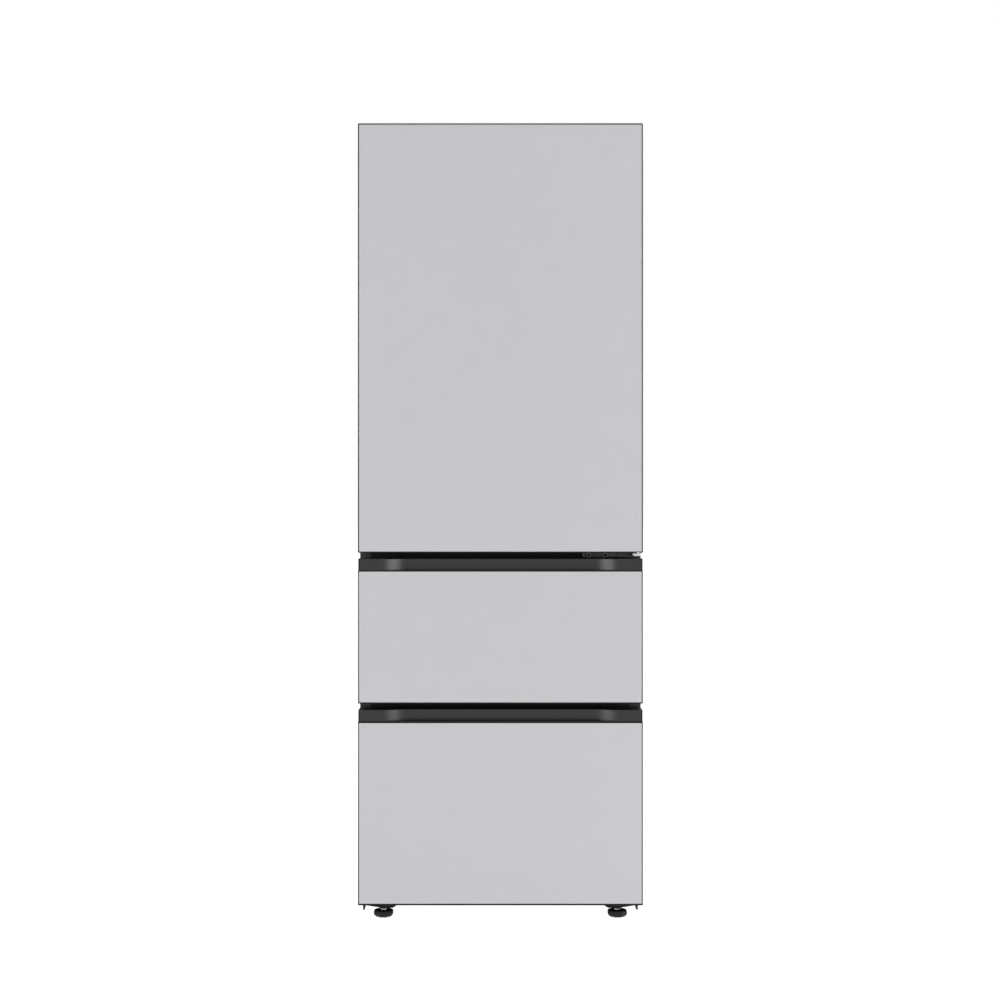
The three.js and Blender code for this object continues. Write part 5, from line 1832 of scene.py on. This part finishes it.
@dataclass
class MachineRoom(SubAssembly):
    """The compressor, the condenser with its fan, and the rear cover."""

    shell: tuple[tuple[float, float], ...] = (
        (0, 0), (50, 0), (60, 3), (70, 12), (77, 28), (80, 52), (80.5, 74), (82.5, 75), (82.5, 81),
        (80.5, 82), (79, 98), (74, 118), (64, 136), (50, 149), (30, 156), (0, 158))
    shell_share: float = 0.97
    mount_border: float = 14 * MM
    pipe_radius: float = 3.2 * MM
    fins: int = 34
    fin_half: float = 0.25 * MM
    side_plate: float = 1.6 * MM
    tube_rows: int = 8
    tube_radius: float = 3.5 * MM
    tube_inset: float = 35 * MM
    tube_start: float = 18 * MM
    louvres: int = 9
    louvre_pitch: float = 0.016
    louvre_start: float = 0.110
    louvre_rise: float = 7.4 * MM
    louvre_y: float = 0.3434
    louvre_x: tuple[float, float] = (0.058, 0.292)
    louvre_degrees: float = -38
    screw_x: tuple[float, ...] = (-0.322, -0.02, 0.322)
    screw_border: float = 12 * MM
    screw_radius: float = 3.6 * MM
    grommet: tuple[float, float] = (-0.250, 0.080)

    def build(self) -> None:
        """Builds each machine in the room and its cover."""
        self.build_compressor()
        self.build_condenser()
        low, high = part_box("condenser_fan")
        fan = fan_rotor((high.z - low.z) / 2 - 0.5 * MM, high.x - low.x, 34)
        _, y, z = (low + high) / 2
        self.put("condenser_fan_rotor", turned(fan, "X", (low.x, y, z)), "black_plastic", "condenser_fan")
        self.put("condenser_fan_frame", softened("condenser_fan_shroud", 0.6 * MM), "black_plastic",
                 "condenser_fan_shroud")
        self.build_cover()

    def build_compressor(self) -> None:
        """Builds the shell with its weld seam, its plate, its rubber mounts and its pipes."""
        low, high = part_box("compressor")
        x, y, base = (low.x + high.x) / 2, (low.y + high.y) / 2, low.z
        shell = spun([(r * MM * self.shell_share, z * MM) for r, z in self.shell], 64)
        self.put("compressor_shell", turned(shell, "Z", (x, y, base + 9 * MM)), "compressor_paint",
                 "compressor")
        plate = rounded_block((low.x, low.y, base + 8 * MM), (high.x, high.y, base + 11.5 * MM), 1.2 * MM)
        self.put("compressor_plate", plate, "compressor_paint")
        outline = in_mm((0, 0), (9, 0), (10, 1.4), (9.4, 4), (7, 6.6), (7, 12.6), (9, 13.2), (8, 17),
                        (0, 17.6))
        reach_x, reach_y = (high.x - low.x) / 2 - self.mount_border, (high.y - low.y) / 2 - self.mount_border
        mounts = [turned(spun(outline, 28), "Z", (x + dx * reach_x, y + dy * reach_y, base + 0.1 * MM))
                  for dx in (-1, 1) for dy in (-1, 1)]
        self.put("compressor_mounts", joined(*mounts), "seal_rubber")
        box = rounded_block((x + 66 * MM, y - 26 * MM, base + 48 * MM),
                            (x + 92 * MM, y + 26 * MM, base + 104 * MM), 4 * MM, 3)
        self.put("compressor_terminal_cover", box, "black_plastic")
        self.build_pipes(Vector((x, y, base)))

    def build_pipes(self, foot: Vector) -> None:
        """Builds the copper pipes: one up into the wall, one along the floor to the condenser.

        Args:
            foot: The middle of the compressor's underside.
        """
        bm = bmesh.new()
        routes = (
            in_mm((-40, -58, 90), (-40, -82, 92), (-40, -92, 104), (-40, -94, 150), (-40, -94, 225)),
            in_mm((30, -66, 70), (34, -84, 66), (50, -94, 50), (120, -96, 16), (240, -96, 12),
                  (305, -92, 16), (312, -84, 28), (312, -72, 30)),
        )
        for stops in routes:
            add_tube(bm, smooth_route([foot + Vector(stop) for stop in stops]), self.pipe_radius, 14)
        face_out(bm)
        self.put("compressor_pipes", bm, "copper", slot="zinc_steel")

    def build_condenser(self) -> None:
        """Builds the condenser: its fins, its side plates and the runs of its tube."""
        low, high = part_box("condenser")
        near, far = low + Vector((3 * MM, 2 * MM, 3 * MM)), high - Vector((3 * MM, 2 * MM, 3 * MM))
        pitch = (far.z - near.z) / self.fins
        parts = []
        for i in range(self.fins):
            z = near.z + (i + 0.5) * pitch
            parts.append(block((near.x, near.y, z - self.fin_half), (far.x, far.y, z + self.fin_half)))
        for x in (low.x, high.x - self.side_plate):
            parts.append(rounded_block((x, low.y, low.z), (x + self.side_plate, high.y, high.z), 0.4 * MM))
        tubes = bmesh.new()
        step = (high.z - low.z - 2 * self.tube_start) / (self.tube_rows - 1)
        for row in range(self.tube_rows):
            z = low.z + self.tube_start + row * step
            for y in (low.y + self.tube_inset, high.y - self.tube_inset):
                ends = [Vector((x, y, z)) for x in (low.x - 4 * MM, high.x + 4 * MM)]
                add_tube(tubes, ends, self.tube_radius)
        face_out(tubes)
        self.put("condenser_core", joined(*parts), "aluminium", "condenser")
        self.put("condenser_tubes", tubes, "copper", slot="aluminium")

    def build_cover(self) -> None:
        """Builds the rear cover with slanted blades behind its slots, screws and a grommet."""
        cover = "machine_room_cover"
        low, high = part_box(cover)
        bm = thinned(cover)
        soften(bm, edges_in_plane(bm, 1, high.y - PROUD), 0.3 * MM)
        self.put(f"{cover}_sheet", bm, "black_plastic", cover)
        blades = [self.louvre(side, self.louvre_start + i * self.louvre_pitch + self.louvre_rise)
                  for side, _ in SIDES for i in range(self.louvres)]
        self.put("machine_room_louvres", joined(*blades), "black_plastic")
        heights = (low.z + self.screw_border, high.z - self.screw_border)
        places = [(x, z) for x in self.screw_x for z in heights]
        self.put(f"{cover}_screws", rear_screws(places, self.screw_radius, high.y - PROUD), "zinc_steel")
        grommet = spun(in_mm((5.2, -2), (8.6, -2), (9.4, -1), (9.4, -0.1), (5.2, -0.1), (5.2, -2)), 40)
        x, z = self.grommet
        self.put(f"{cover}_grommet", faced(grommet, (x, high.y, z), "Y", 1), "seal_rubber")

    def louvre(self, side: int, z: float) -> BMesh:
        """Builds one slanted blade behind a slot of the rear cover.

        Args:
            side: -1 for the left half of the cover and 1 for the right one.
            z: The height of its middle.

        Returns:
            The shape.
        """
        x0, x1 = sorted(side * x for x in self.louvre_x)
        blade = rounded_block((x0, -4 * MM, -0.5 * MM), (x1, 4 * MM, 0.5 * MM), 0.2 * MM, 1)
        swing(blade, "X", math.radians(self.louvre_degrees))
        bmesh.ops.translate(blade, vec=(0, self.louvre_y, z), verts=blade.verts[:])
        return blade


def smooth_route(stops: Sequence[Vector], steps: int = 6) -> list[Vector]:
    """Runs a smooth curve through the stops of a pipe.

    Args:
        stops: The points that it passes through.
        steps: The number of steps between two of them.

    Returns:
        The points of the smooth curve.
    """
    route = []
    ends = [2 * stops[0] - stops[1], *stops, 2 * stops[-1] - stops[-2]]
    for before, start, end, after in zip(ends, ends[1:], ends[2:], ends[3:]):
        for i in range(steps):
            t = i / steps
            bend = 2 * before - 5 * start + 4 * end - after
            route.append(0.5 * (2 * start + (end - before) * t + bend * t * t
                                + (3 * start - before - 3 * end + after) * t ** 3))
    route.append(stops[-1])
    return route


# ------------------------------------------------------------------------- studio
@dataclass
class Studio:
    """The floor, the lamps and the camera at the photograph's angle."""

    camera_place: tuple[float, float, float] = (-0.0010, -4.549, 0.9797)
    lens: float = 64.94
    sky: float = 0.27
    floor_reach: float = 60.0
    floor_white: float = 0.80
    floor_glow: float = 1.7
    floor_glow_share: float = 0.6
    lamps: tuple[tuple[str, Point, Point, Point, float], ...] = (
        ("top_lamp", (0.4, -0.6, 4.3), (0.0, -0.3, 1.0), (2.4, 2.4), 56.0),
        ("left_lamp", (-3.6, -3.2, 1.3), (0.0, -0.3, 1.3), (1.7, 2.5), 112.0),
        ("right_lamp", (3.6, -3.2, 1.3), (0.0, -0.3, 1.3), (1.7, 2.5), 112.0),
        ("side_lamp", (3.8, -0.5, 1.3), (0.0, -0.3, 1.0), (2.2, 2.2), 46.0),
        ("back_lamp", (0.6, 3.6, 3.2), (0.0, 0.3, 0.9), (2.4, 2.4), 40.0),
    )

    def build(self) -> None:
        """Sets up the whole studio."""
        self.place_camera()
        self.light_sky()
        self.lay_floor()
        for name, place, aim, size, power in self.lamps:
            self.hang_lamp(name, Vector(place), Vector(aim), size, power)
        bpy.context.scene.view_settings.view_transform = "Standard"

    def place_camera(self) -> None:
        """Places the camera level, looking at the fronts."""
        data = bpy.data.cameras.new("photo_camera")
        data.lens = self.lens
        data.sensor_width = 36.0
        data.clip_end = 200.0
        camera = bpy.data.objects.new("photo_camera", data)
        camera.location = self.camera_place
        camera.rotation_euler = (math.pi / 2, 0.0, 0.0)
        bpy.context.scene.collection.objects.link(camera)
        bpy.context.scene.camera = camera

    def light_sky(self) -> None:
        """Lights evenly from all round, and shows white to the camera, in gloss and in glass."""
        world = bpy.data.worlds.new("studio_sky")
        bpy.context.scene.world = world
        world.use_nodes = True
        tree = world.node_tree
        tree.nodes.clear()
        out = tree.nodes.new("ShaderNodeOutputWorld")
        mix = tree.nodes.new("ShaderNodeMixShader")
        tree.links.new(seen_by_eye(tree), mix.inputs[0])
        for i, strength in ((1, self.sky), (2, 1.0)):
            light = tree.nodes.new("ShaderNodeBackground")
            light.inputs["Color"].default_value = (1, 1, 1, 1)
            light.inputs["Strength"].default_value = strength
            tree.links.new(light.outputs[0], mix.inputs[i])
        tree.links.new(mix.outputs[0], out.inputs[0])

    def lay_floor(self) -> None:
        """Lays a white floor that keeps a soft shadow."""
        bm = bmesh.new()
        bmesh.ops.create_grid(bm, x_segments=1, y_segments=1, size=self.floor_reach)
        mesh = bpy.data.meshes.new("studio_floor")
        bm.to_mesh(mesh)
        bm.free()
        floor = bpy.data.objects.new("studio_floor", mesh)
        bpy.context.scene.collection.objects.link(floor)
        paint = bpy.data.materials.new("studio_floor_white")
        paint.use_nodes = True
        tree = paint.node_tree
        matt = tree.nodes["Principled BSDF"]
        matt.inputs["Base Color"].default_value = (*[self.floor_white] * 3, 1)
        matt.inputs["Roughness"].default_value = 0.9
        matt.inputs["Specular IOR Level"].default_value = 0.0
        glow = tree.nodes.new("ShaderNodeEmission")
        glow.inputs["Strength"].default_value = self.floor_glow
        lit = tree.nodes.new("ShaderNodeMixShader")
        lit.inputs[0].default_value = self.floor_glow_share
        tree.links.new(matt.outputs[0], lit.inputs[1])
        tree.links.new(glow.outputs[0], lit.inputs[2])
        mix = tree.nodes.new("ShaderNodeMixShader")
        tree.links.new(seen_by_eye(tree), mix.inputs[0])
        tree.links.new(matt.outputs[0], mix.inputs[1])
        tree.links.new(lit.outputs[0], mix.inputs[2])
        tree.links.new(mix.outputs[0], tree.nodes["Material Output"].inputs[0])
        mesh.materials.append(paint)

    @staticmethod
    def hang_lamp(name: str, place: Vector, aim: Vector, size: Point, power: float) -> None:
        """Hangs an oblong soft lamp.

        Args:
            name: The lamp's name.
            place: Where it hangs.
            aim: What it points at.
            size: Its width and height.
            power: Its power in watts.
        """
        data = bpy.data.lights.new(name, "AREA")
        data.shape = "RECTANGLE"
        data.size, data.size_y = size
        data.energy = power
        lamp = bpy.data.objects.new(name, data)
        lamp.location = place
        lamp.rotation_euler = (aim - place).to_track_quat("-Z", "Y").to_euler()
        bpy.context.scene.collection.objects.link(lamp)


def seen_by_eye(tree: Tree) -> Socket:
    """Gives 1 for what the camera sees, straight, in gloss or through glass.

    Args:
        tree: The node tree to add to.

    Returns:
        The socket of the value.
    """
    path = tree.nodes.new("ShaderNodeLightPath")
    total = path.outputs["Is Camera Ray"]
    for other in ("Is Glossy Ray", "Is Transmission Ray"):
        total = Effects.sum_of(tree, "MAXIMUM", total, path.outputs[other])
    return total


# --------------------------------------------------------------------------- main
def main() -> None:
    """Builds the studio and then the refrigerator, sub-assembly by sub-assembly."""
    logging.basicConfig(level=logging.INFO, format="%(name)s: %(message)s")
    effects = Effects()
    paint = {finish.name: finish.build(effects) for finish in FINISHES}
    Studio().build()
    Front(paint, top_chamfer=3.9 * MM).build()
    DrawerFront(paint, "middle_front", "middle_drawer", "middle_gasket", handle="middle_handle",
                top_cap=2.4 * MM).build()
    DrawerFront(paint, "lower_front", "lower_drawer", "lower_gasket", handle="lower_handle",
                top_cap=4.2 * MM, cap_drop=1.1 * MM, top_drop=1.9 * MM, ledge=2.2 * MM).build()
    MiddleHinge(paint).build()
    for side, hand in SIDES:
        FrontFoot(paint, side, hand).build()
        Roller(paint, side, hand).build()
        KimchiContainer(paint, hand).build()
    Cabinet(paint).build()
    TopHinge(paint).build()
    Shelf(paint, "shelf_lower").build()
    Shelf(paint, "shelf_upper").build()
    DrawerInside(paint).build()
    DrawerInside(paint, "lower", "lower_drawer").build()
    ColdAir(paint).build()
    MachineRoom(paint).build()


if __name__ == "__main__":
    main()
